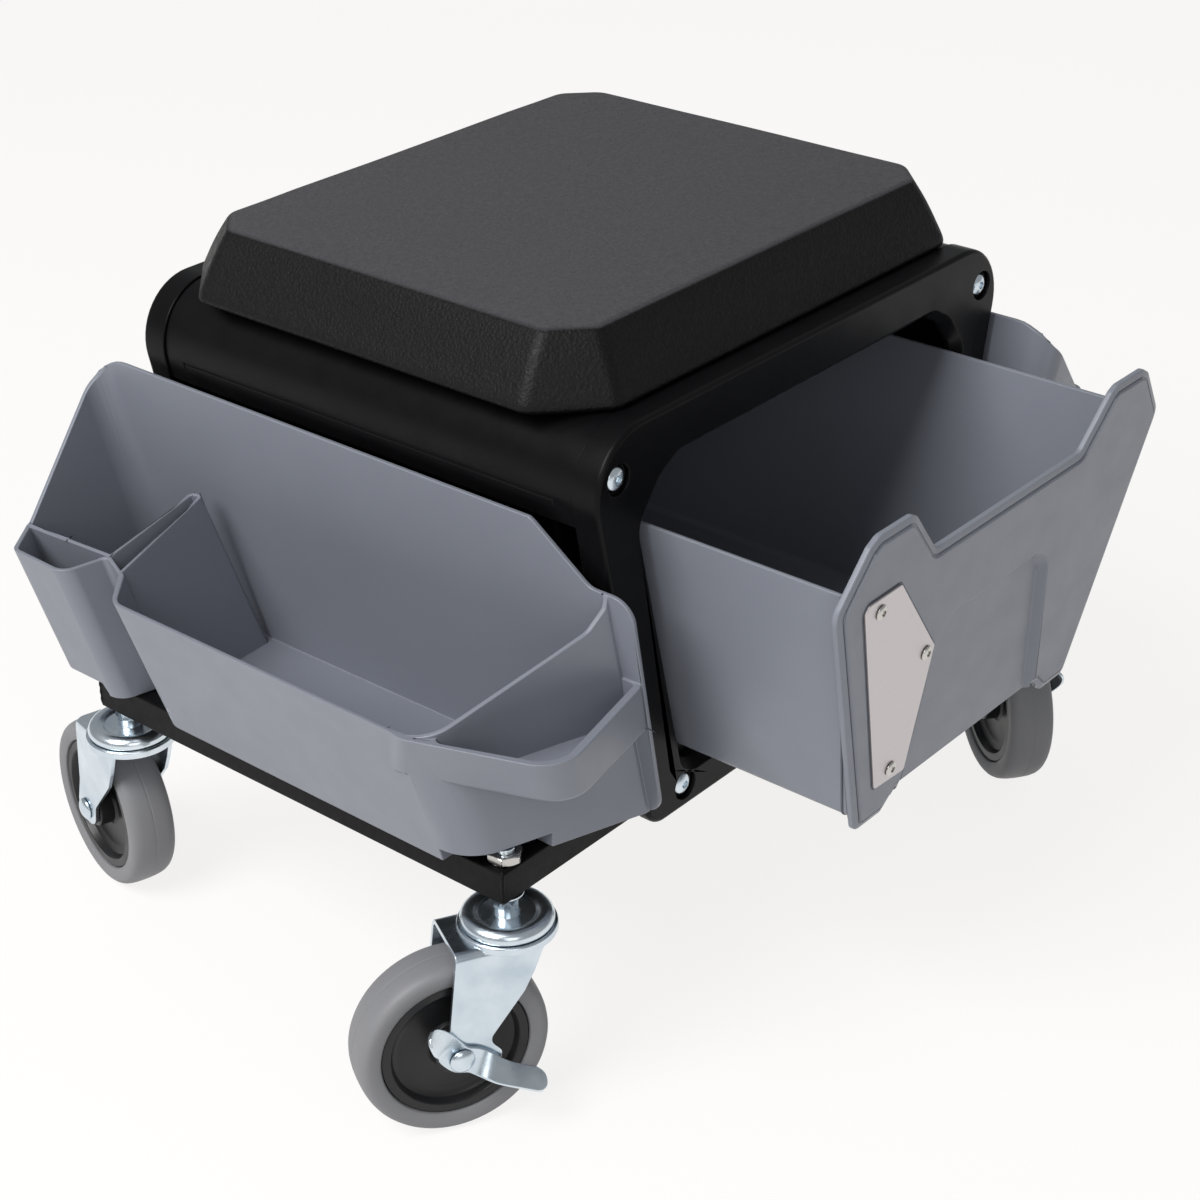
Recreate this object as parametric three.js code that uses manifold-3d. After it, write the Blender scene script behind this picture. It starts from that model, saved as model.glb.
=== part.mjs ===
// Rolling work seat: a welded frame on four swivel casters carries two moulded panels, a cover with a
// padded seat, a drawer between the panels and a tray hung on each side.
// Millimetres, +Z up, floor at zero. The drawer slides out towards -Y, the trays hang on -X and +X.
import * as THREE from "three";
import { mergeVertices } from "three/addons/utils/BufferGeometryUtils.js";
import Module from "manifold-3d";

const wasm = await Module();
wasm.setup();

// Clearances and mesh fineness
const gap = 0.3;
const overrun = 2;
const leastRadius = 0.8;
const arcSteps = 4;
const fastenerSteps = 10;
const bearingSteps = 14;
const wheelSteps = 24;

// Casters: wheel on the floor, fork trailing behind a swivelling stem
const wheelRadius = 50;
const trail = 32.7;
const tyreHalfWidth = 13.4;
const tyreThickness = 11.3;
const tyreShoulder = 2.2;
const coreRadius = 38.4;
const coreHalfWidth = 11.5;
const coreRimWidth = 4.9;
const webHalfWidth = 5.5;
const hubRadius = 12;
const hubHalfWidth = 15.6;
const hubFlare = 2;
const axleRadius = 4;
const forkRise = 58;
const sheet = 2.5;
const forkHalfWidth = 18.7;
const forkBend = 5;
const forkCorner = 8;
const raceRadius = 25.2;
const raceRise = 1.8;
const raceLip = 3.7;
const cupRadius = 23.6;
const cupRise = 6.3;
const cupRecess = 14.7;
const collarRadius = 6.6;
const collarRise = 8.9;
const hexFlats = 13;
const hexHeight = 7.9;
const kingpinRadius = 4.7;
const kingpinHeadRadius = 7.5;
const kingpinHeadHeight = 4.2;
const stemRadius = 5;
const stemNutFlats = 16;
const stemNutHeight = 5;
const stemEnd = 2.5;
const stemChamfer = 0.75;
const cupDish = 1;
const axleHeadRadius = 6.5;
const axleHeadHeight = 3.2;
const axleNutFlats = 13;
const axleNutHeight = 4.5;
const axleEnd = 1.5;
const leverSheet = 2;
const leverReach = 47;
const leverWidth = 14;
const frontLeftSwivelDegrees = 151.5;
const frontRightSwivelDegrees = -127.2;
const rearLeftSwivelDegrees = 76;
const rearRightSwivelDegrees = 28.5;

// Base frame of rectangular tube, with the stems in its corners
const frameLength = 468;
const frameWidth = 296;
const tubeWidth = 25;
const tubeHeight = 18.1;
const tubeWall = 1.7;
const stemInsetX = 11.5;
const stemInsetY = 8.5;
const lowerScrewShare = 0.415;

// Front and rear panels; the body widens upwards
const panelDrop = 5.7;
const panelRise = 207;
const panelReveal = 14;
const bodySlope = 0.2035;
const panelPlate = 8.7;
const panelRim = 16;
const panelWall = 3;
const panelTopRadius = 33;
const panelFootRadius = 14;
const panelEdge = 1.5;
const openingBevel = 5.5;
const openingBevelDepth = 6;
const openingFootRadius = 10;
const openingRise = 177.7;
const openingCorner = 26.5;
const openingCornerRun = 27.9;
const openingCornerShares = [0.48, 0.29];
const upperScrewX = 156;
const upperScrewDrop = 24.2;
const lowerScrewX = 103.7;
const counterboreRadius = 8;
const counterboreDepth = 3.5;
const screwHeadRadius = 6.3;
const screwHeadHeight = 3.3;
const screwRadius = 3;
const screwLength = 22;
const lowerScrewLength = 13;
const socketFlats = 4;
const socketDepth = 2;

// Top cover and side panels
const coverReveal = 1.5;
const coverDrop = 0.8;
const coverHeight = 49;
const coverWall = 3;
const coverRadius = 32;
const bossRadius = 6.5;
const bossLength = 15;
const bossWeb = 3;
const sideStandoff = 10.5;
const sideHeight = 167;
const sideWall = 3;
const ribDepth = 10.4;
const ribThickness = 2.5;
const ribPitch = 30;
const ledgeRise = 120;
const ledgeThickness = 3;
const ledgeReach = 17;
const ledgeLip = 2.5;
const ledgeLipHeight = 8;

// Seat pad and its board
const seatSideInset = 8.5;
const seatEndInset = 5.2;
const seatHeight = 36.9;
const seatCrown = 1.8;
const seatBevelX = 16.8;
const seatBevelY = 14.5;
const seatCorner = 32;
const seatTopCorner = 21;
const seatCornerRadius = 7;
const seatDrawIn = 1.4;
const boardInset = 20;
const boardThickness = 8;
const boardCorner = 24;
const seatBoltInsetX = 50;
const seatBoltInsetY = 43;
const seatBoltHeadRadius = 6.5;
const seatBoltHeadHeight = 3.5;

// Drawer and its runners
const drawerOpen = 97;
const drawerRear = -48;
const binFootHalf = 101;
const binHeight = 142.6;
const binSlope = 0.2316;
const binWall = 2.5;
const binFootRadius = 7;
const binSideGap = 2.4;
const runnerThickness = 7.5;
const runnerSeat = 17;
const runnerMargin = 6.5;
const runnerLip = 2.5;
const runnerLipHeight = 12;
const runnerEndInset = 2;
const frontHalfWidth = 146;
const frontHeight = 177.5;
const frontDrop = 7.4;
const frontLean = 0.11;
const frontPlate = 5;
const frontEdge = 5;
const frontEdgeDepth = 1.6;
const recessDepth = 4.5;
const recessBevel = 4.5;
const recessFootHalf = 62;
const recessTopHalf = 40;
const recessHeight = 91;
const recessShoulder = 82;
const recessShoulderHalf = 47;
const panWall = 2.5;
const badgeThickness = 1;
const badgeEdge = 0.4;
const badgeScrewHeadRadius = 4;
const badgeScrewHeadHeight = 1.8;
const badgeScrewRadius = 1.5;
const badgeScrewLength = 4;
const badgeSocketFlats = 2;
const badgeSocketDepth = 1;

// Tray: rim and floor outlines as the spread of the back wall outwards and from front to rear
const trayRimHeight = 82.9;
const trayBackHeight = 159.9;
const trayStandoff = 16.3;
const trayBackLean = 15.2;
const trayFloorDepth = 98.8;
const trayRimDepth = 108.6;
const trayFrontReach = 22;
const trayRearReach = 32;
const trayRimSetback = 4;
const trayRimSpread = 5;
const trayCornerRadius = 25;
const trayWall = 2.6;
const wedgeWall = 2.2;
const wedgeRadius = 3.4;
const partitionWall = 2.4;
const pocketHeight = 27.5;
const pocketLipHeight = 25;
const pocketCornerRadius = 20;
const flangeReach = 10;
const flangeHeight = 130.4;
const flangeRadius = 12;
const backSlopeInset = 29;
const backSlopeReach = 3;
const rearRimHeight = 86.9;
const wedgeRimHeight = 99.9;
const frontRimHeight = 114;
const notchReach = 21.5;
const notchRearReach = 12.5;
const notchRoom = 0.5;
const hookY = 75;
const hookWidth = 16;
const hookThickness = 3;
const hookDrop = 6;

// Heights and places that follow from the sizes above
const forkUnder = wheelRadius + forkRise;
const forkTop = forkUnder + sheet;
const raceTop = forkTop + raceRise;
const cupBottom = raceTop + gap;
const hexBottom = cupBottom + collarRise;
const hexTop = hexBottom + hexHeight;
const frameBottom = hexTop + gap;
const frameTop = frameBottom + tubeHeight;
const stemX = frameLength / 2 - stemInsetX;
const stemY = frameWidth / 2 - stemInsetY;
const panelBack = frameWidth / 2 + gap;
const panelFace = panelBack + panelPlate;
const panelBottom = frameBottom - panelDrop;
const panelTop = frameTop + panelRise;
const coverTop = panelTop - coverDrop;
const coverBottom = coverTop - coverHeight;
const coverEnd = panelFace - panelRim - gap;
const runnerInner = binFootHalf - runnerSeat;
const runnerOuter = binFootHalf + runnerMargin;
const sideFootHalf = runnerOuter + sideStandoff;
const panelFootHalf = sideFootHalf + panelReveal;
const bodyHalf = (z) => panelFootHalf + bodySlope * (z - panelBottom);
const seatBottom = coverTop + gap;
const seatWidth = frameWidth - 2 * seatEndInset;
const seatLength = 2 * (bodyHalf(coverTop) - seatSideInset);
const boardLength = seatLength - 2 * boardInset;
const boardWidth = seatWidth - 2 * boardInset;
const seatBoltX = boardLength / 2 - seatBoltInsetX;
const seatBoltY = boardWidth / 2 - seatBoltInsetY;
const runnerTop = frameTop + gap + runnerThickness;
const binBottom = runnerTop + gap;
const drawerBack = drawerRear + drawerOpen;
const openingBottom = frameTop + gap;
const trayBottom = frameTop + gap;
const upperScrewZ = panelTop - upperScrewDrop;
const lowerScrewZ = frameBottom + tubeHeight * lowerScrewShare;
const trayFloorBack = sideFootHalf + ribDepth + trayStandoff;
const trayRimBack = trayFloorBack + trayBackLean;
const trayFloorFront = -frameWidth / 2 - trayFrontReach;
const trayFloorLength = frameWidth + trayFrontReach + trayRearReach;
const trayRimFront = trayFloorFront + trayRimSetback;
const trayRimLength = trayFloorLength + trayRimSpread;
const flangeFront = trayRimFront - flangeReach;
const backSlopeStart = -frameWidth / 2 + backSlopeInset;
const backSlopeEnd = -frameWidth / 2 - backSlopeReach;
const notchX = -stemX + notchReach;
const notchFront = -stemY + notchReach;
const notchRear = stemY - notchRearReach;
const notchHeight = stemNutHeight + stemEnd + notchRoom;

const binHalf = (z) => binFootHalf + binSlope * (z - binBottom);
const openingHalf = (z) => binHalf(z) + binSideGap;
const sideHalf = (z) => sideFootHalf + bodySlope * (z - frameTop);

// Solids and outlines
function solidOf(geometry) {
  const plain = geometry.clone();
  plain.deleteAttribute("normal");
  plain.deleteAttribute("uv");
  const merged = mergeVertices(plain);
  const index = merged.index.array;
  const triangles = [];
  for (let i = 0; i < index.length; i += 3) {
    const [a, b, c] = index.slice(i, i + 3);
    if (a !== b && b !== c && c !== a) triangles.push(a, b, c);
  }
  return new wasm.Manifold(new wasm.Mesh({
    numProp: 3,
    vertProperties: Float32Array.from(merged.attributes.position.array),
    triVerts: Uint32Array.from(triangles),
  }));
}

function geometryOf(solid) {
  const mesh = solid.getMesh();
  const geometry = new THREE.BufferGeometry();
  geometry.setAttribute("position", new THREE.BufferAttribute(Float32Array.from(mesh.vertProperties), 3));
  geometry.setIndex(new THREE.BufferAttribute(Uint32Array.from(mesh.triVerts), 1));
  geometry.computeVertexNormals();
  return geometry;
}

const join = (...solids) => solids.reduce((whole, solid) => whole.add(solid));
const cut = (whole, ...tools) => tools.reduce((rest, tool) => rest.subtract(tool), whole);

// An outline is a counter-clockwise list of corners [x, y, radius]; rounded() turns it into points.
function rounded(corners) {
  return corners.flatMap(([x, y, radius = 0], i) => {
    const here = new THREE.Vector2(x, y);
    if (radius === 0) return [here];
    const [beforeX, beforeY] = corners.at(i - 1);
    const [afterX, afterY] = corners[(i + 1) % corners.length];
    const before = new THREE.Vector2(beforeX, beforeY).sub(here).normalize();
    const after = new THREE.Vector2(afterX, afterY).sub(here).normalize();
    const half = Math.acos(THREE.MathUtils.clamp(before.dot(after), -1, 1)) / 2;
    const centre = before.clone().add(after).setLength(radius / Math.sin(half)).add(here);
    const start = before.multiplyScalar(radius / Math.tan(half)).add(here).sub(centre);
    const end = after.multiplyScalar(radius / Math.tan(half)).add(here).sub(centre);
    const sweep = Math.atan2(start.cross(end), start.dot(end));
    return Array.from({ length: arcSteps + 1 }, (_, step) => {
      const turn = sweep * step / arcSteps;
      return start.clone().rotateAround(new THREE.Vector2(), turn).add(centre);
    });
  });
}

// The same outline moved inwards by a distance, or outwards where it is negative
function inset(corners, distance) {
  return corners.map(([x, y, radius = 0], i) => {
    const [beforeX, beforeY] = corners.at(i - 1);
    const [afterX, afterY] = corners[(i + 1) % corners.length];
    const arriving = new THREE.Vector2(x - beforeX, y - beforeY).normalize();
    const leaving = new THREE.Vector2(afterX - x, afterY - y).normalize();
    const scale = distance / (1 + arriving.dot(leaving));
    const bend = Math.sign(arriving.cross(leaving));
    const newRadius = radius === 0 ? 0 : Math.max(radius - bend * distance, leastRadius);
    return [x - (arriving.y + leaving.y) * scale, y + (arriving.x + leaving.x) * scale, newRadius];
  });
}

const rectangle = (x0, x1, y0, y1, radius = 0) =>
  [[x0, y0, radius], [x1, y0, radius], [x1, y1, radius], [x0, y1, radius]];

function hexagon(flats) {
  const corner = flats / Math.sqrt(3);
  return Array.from({ length: 6 }, (_, i) => [
    corner * Math.cos(i * Math.PI / 3),
    corner * Math.sin(i * Math.PI / 3),
  ]);
}

// Outlines drawn in x and z face the front, those drawn in y and z face the right side.
const toFront = new THREE.Matrix4().set(1, 0, 0, 0, 0, 0, -1, 0, 0, 1, 0, 0, 0, 0, 0, 1);
const toSide = new THREE.Matrix4().set(0, 0, 1, 0, 1, 0, 0, 0, 0, 1, 0, 0, 0, 0, 0, 1);

function extruded(corners, depth) {
  const shape = new THREE.Shape(rounded(corners));
  return new THREE.ExtrudeGeometry(shape, { depth, bevelEnabled: false });
}

const alongZ = (corners, z0, z1) => solidOf(extruded(corners, z1 - z0).translate(0, 0, z0));
const alongY = (corners, y0, y1) =>
  solidOf(extruded(corners, y1 - y0).applyMatrix4(toFront).translate(0, y1, 0));
const alongX = (corners, x0, x1) =>
  solidOf(extruded(corners, x1 - x0).applyMatrix4(toSide).translate(x0, 0, 0));
const block = (x0, x1, y0, y1, z0, z1) => alongZ(rectangle(x0, x1, y0, y1), z0, z1);

// A solid through outlines of equal make, each given as [corners, height]. Its ends are fanned from their
// middles where the outline has points in line with each other.
function loftGeometry(levels, fanned = false) {
  const rings = levels.map(([corners, height]) => rounded(corners).map(({ x, y }) => [x, y, height]));
  const count = rings[0].length;
  const triangles = [];
  for (let ring = 0; ring < rings.length - 1; ring += 1) {
    for (let i = 0; i < count; i += 1) {
      const a = ring * count + i;
      const b = ring * count + (i + 1) % count;
      triangles.push(a, b, b + count, a, b + count, a + count);
    }
  }
  const last = (rings.length - 1) * count;
  const fan = (centre) => Array.from({ length: count }, (_, i) => [centre, i, (i + 1) % count]);
  const cap = (ring, centre) => {
    if (fanned) return fan(centre);
    return THREE.ShapeUtils.triangulateShape(ring.map(([x, y]) => new THREE.Vector2(x, y)), []);
  };
  const total = rings.length * count;
  cap(rings[0], total).forEach(([a, b, c]) => triangles.push(c, b, a));
  cap(rings.at(-1), total + 1 - last).forEach(([a, b, c]) => triangles.push(a + last, b + last, c + last));
  if (fanned) rings.push([[0, 0, levels[0][1]], [0, 0, levels.at(-1)[1]]]);
  const geometry = new THREE.BufferGeometry();
  geometry.setAttribute("position", new THREE.Float32BufferAttribute(rings.flat(2), 3));
  geometry.setIndex(triangles);
  return geometry;
}

const loft = (levels, fanned) => solidOf(loftGeometry(levels, fanned));
const loftForward = (levels, y) =>
  solidOf(loftGeometry(levels).applyMatrix4(toFront).translate(0, y, 0));

// A turned solid from a counter-clockwise profile of [radius, height], its axis along Z or Y
function turned(profile, steps, { axis = "z", at = [0, 0, 0] } = {}) {
  const points = [...profile, profile[0]].map(([radius, height]) => new THREE.Vector2(radius, height));
  const geometry = new THREE.LatheGeometry(points, steps);
  if (axis === "z") geometry.rotateX(Math.PI / 2);
  return solidOf(geometry.translate(...at));
}

const rod = (radius, low, high, options, steps = fastenerSteps) =>
  turned([[0, low], [radius, low], [radius, high], [0, high]], steps, options);

// A button-head screw: its head's seat lies at zero, the head above it and the shaft below
const screwEdgeShare = 0.35;
const screwCrownShare = 0.7;

function screw({ head, rise, shaft, length, flats = 0, depth = 0 }) {
  const body = turned([
    [0, -length],
    [shaft, -length],
    [shaft, 0],
    [head, 0],
    [head, rise * screwEdgeShare],
    [head * screwCrownShare, rise],
    [0, rise],
  ], fastenerSteps);
  return flats === 0 ? body : cut(body, alongZ(hexagon(flats), rise - depth, rise + overrun));
}

const nut = (flats, height, bore) =>
  cut(alongZ(hexagon(flats), 0, height), rod(bore, -overrun, height + overrun));

// Materials
const finishes = {
  steelPaint: { color: 0x1c1d1f, roughness: 0.42, metalness: 0.1 },
  blackPlastic: { color: 0x202124, roughness: 0.5, metalness: 0 },
  seatSkin: { color: 0x36363a, roughness: 0.62, metalness: 0 },
  board: { color: 0x8a7355, roughness: 0.85, metalness: 0 },
  greyPlastic: { color: 0x868b98, roughness: 0.45, metalness: 0 },
  zinc: { color: 0xc3ccd3, roughness: 0.25, metalness: 1 },
  nickel: { color: 0xcabfae, roughness: 0.28, metalness: 1 },
  brushed: { color: 0xc9c3ba, roughness: 0.38, metalness: 1 },
  tyre: { color: 0x6f6f71, roughness: 0.6, metalness: 0 },
  wheelCore: { color: 0x17181a, roughness: 0.5, metalness: 0 },
};

function piece(name, solid, finish) {
  const mesh = new THREE.Mesh(geometryOf(solid), new THREE.MeshStandardMaterial(finishes[finish]));
  mesh.name = name;
  return mesh;
}

// Base frame: a closed ring of tube, its hollow opened by the stem bores and the panel screws
function baseFrame() {
  const halfX = frameLength / 2;
  const halfY = frameWidth / 2;
  const ring = (wall) => {
    const outer = rectangle(-halfX + wall, halfX - wall, -halfY + wall, halfY - wall);
    const inner = inset(rectangle(-halfX, halfX, -halfY, halfY), tubeWidth - wall);
    const low = frameBottom + wall;
    const high = frameTop - wall;
    return cut(alongZ(outer, low, high), alongZ(inner, low - overrun, high + overrun));
  };
  const bores = [-stemX, stemX].flatMap((x) => [-stemY, stemY].map((y) =>
    rod(stemRadius + gap, frameBottom - overrun, frameTop + overrun, { at: [x, y, 0] })));
  const screwHoles = [-lowerScrewX, lowerScrewX].map((x) =>
    rod(screwRadius + gap, -halfY - overrun, halfY + overrun, { axis: "y", at: [x, 0, lowerScrewZ] }));
  const hollow = ring(tubeWall);
  const screwBores = screwHoles.map((hole) =>
    cut(hole, block(-halfX, halfX, -halfY + tubeWidth / 2, halfY - tubeWidth / 2, 0, frameTop)));
  return cut(ring(0), hollow, ...bores, ...screwBores);
}

// Panel: a face plate with a bevelled drawer opening and a rim that caps the cover's end
function panelSolid() {
  const outline = [
    [-panelFootHalf, panelBottom, panelFootRadius],
    [panelFootHalf, panelBottom, panelFootRadius],
    [bodyHalf(panelTop), panelTop, panelTopRadius],
    [-bodyHalf(panelTop), panelTop, panelTopRadius],
  ];
  const openingTop = openingBottom + openingRise;
  const cornerLow = openingTop - openingCorner;
  const topHalf = openingHalf(cornerLow) - openingCornerRun;
  const [cornerRunShare, cornerDropShare] = openingCornerShares;
  const opening = [
    [-openingHalf(openingBottom), openingBottom, openingFootRadius],
    [openingHalf(openingBottom), openingBottom, openingFootRadius],
    [openingHalf(cornerLow), cornerLow],
    [topHalf + openingCornerRun * cornerRunShare, openingTop - openingCorner * cornerDropShare],
    [topHalf, openingTop],
    [-topHalf, openingTop],
    [-topHalf - openingCornerRun * cornerRunShare, openingTop - openingCorner * cornerDropShare],
    [-openingHalf(cornerLow), cornerLow],
  ];
  const plate = loftForward([
    [outline, 0],
    [outline, panelPlate - panelEdge],
    [inset(outline, panelEdge), panelPlate],
  ], -panelBack);
  const rim = cut(
    alongY(outline, -panelBack - gap, -panelFace + panelRim),
    alongY(inset(outline, panelWall), -panelFace - overrun, -panelFace + panelRim + overrun),
    block(-frameLength, frameLength, -panelBack, frameWidth, 0, frameTop + gap),
  );
  const bevel = loftForward([
    [opening, panelPlate - openingBevelDepth],
    [inset(opening, -openingBevel), panelPlate + gap],
  ], -panelBack);
  const through = alongY(opening, -panelFace - overrun, -panelBack + overrun);
  const holes = [[upperScrewX, upperScrewZ], [lowerScrewX, lowerScrewZ]].flatMap(([x, z]) =>
    [-x, x].flatMap((place) => [
      rod(screwRadius + gap, -panelFace - overrun, -panelBack + overrun, { axis: "y", at: [place, 0, z] }),
      rod(counterboreRadius, -panelFace - overrun, -panelFace + counterboreDepth,
        { axis: "y", at: [place, 0, z] }, bearingSteps),
    ]));
  return cut(join(plate, rim), bevel, through, ...holes);
}

// Cover: an arched shell between the panels, with screw bosses at its ends and holes for the seat bolts
function coverSolid() {
  const wall = coverWall;
  const half = (z) => bodyHalf(z) - coverReveal;
  const outer = [
    [-half(coverBottom), coverBottom],
    [half(coverBottom), coverBottom],
    [half(coverTop), coverTop, coverRadius],
    [-half(coverTop), coverTop, coverRadius],
  ];
  const low = coverBottom - overrun;
  const high = coverTop - wall;
  const inner = [
    [-half(low) + wall, low],
    [half(low) - wall, low],
    [half(high) - wall, high, coverRadius - wall],
    [-half(high) + wall, high, coverRadius - wall],
  ];
  const arch = alongY(outer, -coverEnd, coverEnd);
  const shell = cut(arch, alongY(inner, -coverEnd - overrun, coverEnd + overrun));
  const bosses = [-1, 1].flatMap((sideX) => [-1, 1].map((sideY) => {
    const x = sideX * upperScrewX;
    const ends = [sideY * coverEnd, sideY * (coverEnd - bossLength)].sort((a, b) => a - b);
    const options = { axis: "y", at: [x, 0, upperScrewZ] };
    const tube = rod(bossRadius, ...ends, options);
    const reach = [x, sideX * half(upperScrewZ)].sort((a, b) => a - b);
    const web = block(...reach, ...ends, upperScrewZ - bossWeb / 2, upperScrewZ + bossWeb / 2);
    const bore = rod(screwRadius + gap, ends[0] - overrun, ends[1] + overrun, options);
    return cut(join(tube, web), bore);
  }));
  const bolts = [-seatBoltX, seatBoltX].flatMap((x) => [-seatBoltY, seatBoltY].map((y) =>
    rod(screwRadius + gap, coverTop - wall - overrun, coverTop + overrun, { at: [x, y, 0] })));
  return cut(join(shell, ...bosses.map((boss) => boss.intersect(arch))), ...bolts);
}

// Side panel on the left: a leaning wall with upright ribs and a ledge for the tray's hooks
function sidePanelSolid() {
  const low = frameTop + gap;
  const high = frameTop + sideHeight;
  const end = frameWidth / 2;
  const leaning = (near, far) => [
    [-sideHalf(low) - far, low],
    [-sideHalf(low) - near, low],
    [-sideHalf(high) - near, high],
    [-sideHalf(high) - far, high],
  ];
  const wall = alongY(leaning(-sideWall, 0), -end, end);
  const ribCount = Math.floor((end - ribPitch / 2) / ribPitch);
  const ribs = Array.from({ length: 2 * ribCount + 1 }, (_, i) => {
    const y = (i - ribCount) * ribPitch;
    return alongY(leaning(-sideWall / 2, ribDepth), y - ribThickness / 2, y + ribThickness / 2);
  });
  const shelf = frameTop + ledgeRise;
  const back = -sideHalf(shelf) + sideWall / 2;
  const front = -sideHalf(shelf) - ledgeReach;
  const ledge = join(
    block(front, back, -coverEnd, coverEnd, shelf, shelf + ledgeThickness),
    block(front, front + ledgeLip, -coverEnd, coverEnd, shelf, shelf + ledgeThickness + ledgeLipHeight),
  );
  return join(wall, ...ribs, ledge);
}

// Seat pad: an eight-sided moulding with sloping sides that pull in, a crowned top and a recess below
const seatProfileShares = [
  [0.19, 0], [0, 0.1], [0.3, 0.38], [0.64, 0.64], [1, 0.873], [1.18, 0.962], [1.4, 1],
];
const sidePullShares = [-0.55, 0, 0.55];
const crownShares = [0.82, 0.6, 0.36, 0.12];

function seatOutline(bevelShare, pull, scale = 1) {
  const halfX = (seatLength / 2 - seatBevelX * bevelShare) * scale;
  const halfY = (seatWidth / 2 - seatBevelY * bevelShare) * scale;
  const corner = THREE.MathUtils.lerp(seatCorner, seatTopCorner, bevelShare) * scale;
  const radius = seatCornerRadius * scale;
  const side = (length) => sidePullShares.map((share) =>
    [share * (length - corner), pull * (1 - share * share)]);
  return [
    [halfX, -halfY + corner, radius],
    ...side(halfY).map(([along, inwards]) => [halfX - inwards, along]),
    [halfX, halfY - corner, radius],
    [halfX - corner, halfY, radius],
    ...side(halfX).map(([along, inwards]) => [-along, halfY - inwards]),
    [-halfX + corner, halfY, radius],
    [-halfX, halfY - corner, radius],
    ...side(halfY).map(([along, inwards]) => [-halfX + inwards, -along]),
    [-halfX, -halfY + corner, radius],
    [-halfX + corner, -halfY, radius],
    ...side(halfX).map(([along, inwards]) => [along, -halfY + inwards]),
    [halfX - corner, -halfY, radius],
  ];
}

const boardOutline = (clearance) => {
  const x = boardLength / 2 + clearance;
  const y = boardWidth / 2 + clearance;
  return rectangle(-x, x, -y, y, boardCorner);
};

function seatSolid() {
  const sides = seatProfileShares.map(([bevelShare, heightShare]) => {
    const pull = seatDrawIn * Math.sin(Math.PI * heightShare);
    return [seatOutline(bevelShare, pull), seatBottom + seatHeight * heightShare];
  });
  const [lastBevel] = seatProfileShares.at(-1);
  const crown = crownShares.map((share) => [
    seatOutline(lastBevel, 0, share),
    seatBottom + seatHeight + seatCrown * (1 - share * share),
  ]);
  const recess = alongZ(boardOutline(gap), seatBottom - overrun, seatBottom + boardThickness + gap);
  return cut(loft([...sides, ...crown], true), recess);
}

function boardSolid() {
  const bores = [-seatBoltX, seatBoltX].flatMap((x) => [-seatBoltY, seatBoltY].map((y) =>
    rod(screwRadius + gap, seatBottom - overrun, seatBottom + boardThickness + overrun, { at: [x, y, 0] })));
  return cut(alongZ(boardOutline(0), seatBottom, seatBottom + boardThickness), ...bores);
}

// Drawer front: everything on it is drawn upright and then leans forward with height
const frontBottom = binBottom - frontDrop;
const frontY = -(panelFace + gap + frontPlate + drawerOpen);
const leanZero = frontBottom;
const faceY = (z) => frontY - frontLean * (z - leanZero);
const leanAngle = Math.atan(frontLean);
const leaning = new THREE.Matrix4().set(
  1, 0, 0, 0,
  0, 1, -frontLean, frontLean * leanZero,
  0, 0, 1, 0,
  0, 0, 0, 1,
);
const leaned = (geometry) => solidOf(geometry.applyMatrix4(leaning));
const frontLoft = (levels) => leaned(loftGeometry(levels).applyMatrix4(toFront).translate(0, frontY, 0));

const frontShares = [
  [0.455, 0.051], [0.521, 0], [0.678, 0], [0.99, 0.786], [1, 0.82], [0.863, 0.977],
  [0.815, 1], [0.637, 1], [0.603, 0.986], [0.452, 0.839],
];
const badgeShares = [
  [-0.863, 0.786], [-0.623, 0.13], [-0.445, 0.121], [-0.384, 0.515], [-0.664, 0.808], [-0.842, 0.806],
];
const badgeScrewShares = [[-0.774, 0.763], [-0.438, 0.51], [-0.544, 0.169]];
const onFront = ([x, z]) => [x * frontHalfWidth, frontBottom + z * frontHeight];

function frontOutline() {
  const right = frontShares.map(onFront);
  const left = right.map(([x, z]) => [-x, z]).reverse();
  return [...right, ...left];
}

function drawerSolid() {
  const top = binBottom + binHeight;
  const section = (inwards, low, high, radius) => [
    [-binHalf(low) + inwards, low, radius],
    [binHalf(low) - inwards, low, radius],
    [binHalf(high) - inwards, high],
    [-binHalf(high) + inwards, high],
  ];
  const far = faceY(top) - overrun;
  const outer = alongY(section(0, binBottom, top, binFootRadius), far, drawerBack);
  const innerRadius = binFootRadius - binWall;
  const inner = alongY(section(binWall, binBottom + binWall, top + overrun, innerRadius), far - overrun,
    drawerBack - binWall);
  const ahead = frontLoft([
    [rectangle(-frameLength, frameLength, 0, panelTop + frameLength), -frontPlate / 2],
    [rectangle(-frameLength, frameLength, 0, panelTop + frameLength), frameLength],
  ]);
  const outline = frontOutline();
  const plate = frontLoft([
    [outline, -frontPlate],
    [outline, -frontEdgeDepth],
    [inset(outline, frontEdge), 0],
  ]);
  const recess = (low, wider) => inset([
    [-recessFootHalf, low],
    [recessFootHalf, low],
    [recessShoulderHalf, binBottom + recessShoulder],
    [recessTopHalf, binBottom + recessHeight],
    [-recessTopHalf, binBottom + recessHeight],
    [-recessShoulderHalf, binBottom + recessShoulder],
  ], -wider);
  const hollowLow = frontBottom;
  const hollow = frontLoft([
    [recess(hollowLow, 0), -recessDepth],
    [recess(hollowLow, recessBevel), gap],
  ]);
  const pan = frontLoft([
    [recess(binBottom + panWall, panWall), -recessDepth - panWall],
    [recess(binBottom + panWall, panWall), -recessDepth / 2],
  ]);
  const screwHoles = badgeScrewShares.map(onFront).map(([x, z]) => {
    const ends = [faceY(z) - frontPlate, faceY(z) + badgeScrewLength + gap];
    return rod(badgeScrewRadius + gap * 2, ...ends, { axis: "y", at: [x, 0, z] });
  });
  return cut(join(cut(outer, inner, ahead), plate, pan), hollow, ...screwHoles);
}

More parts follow.
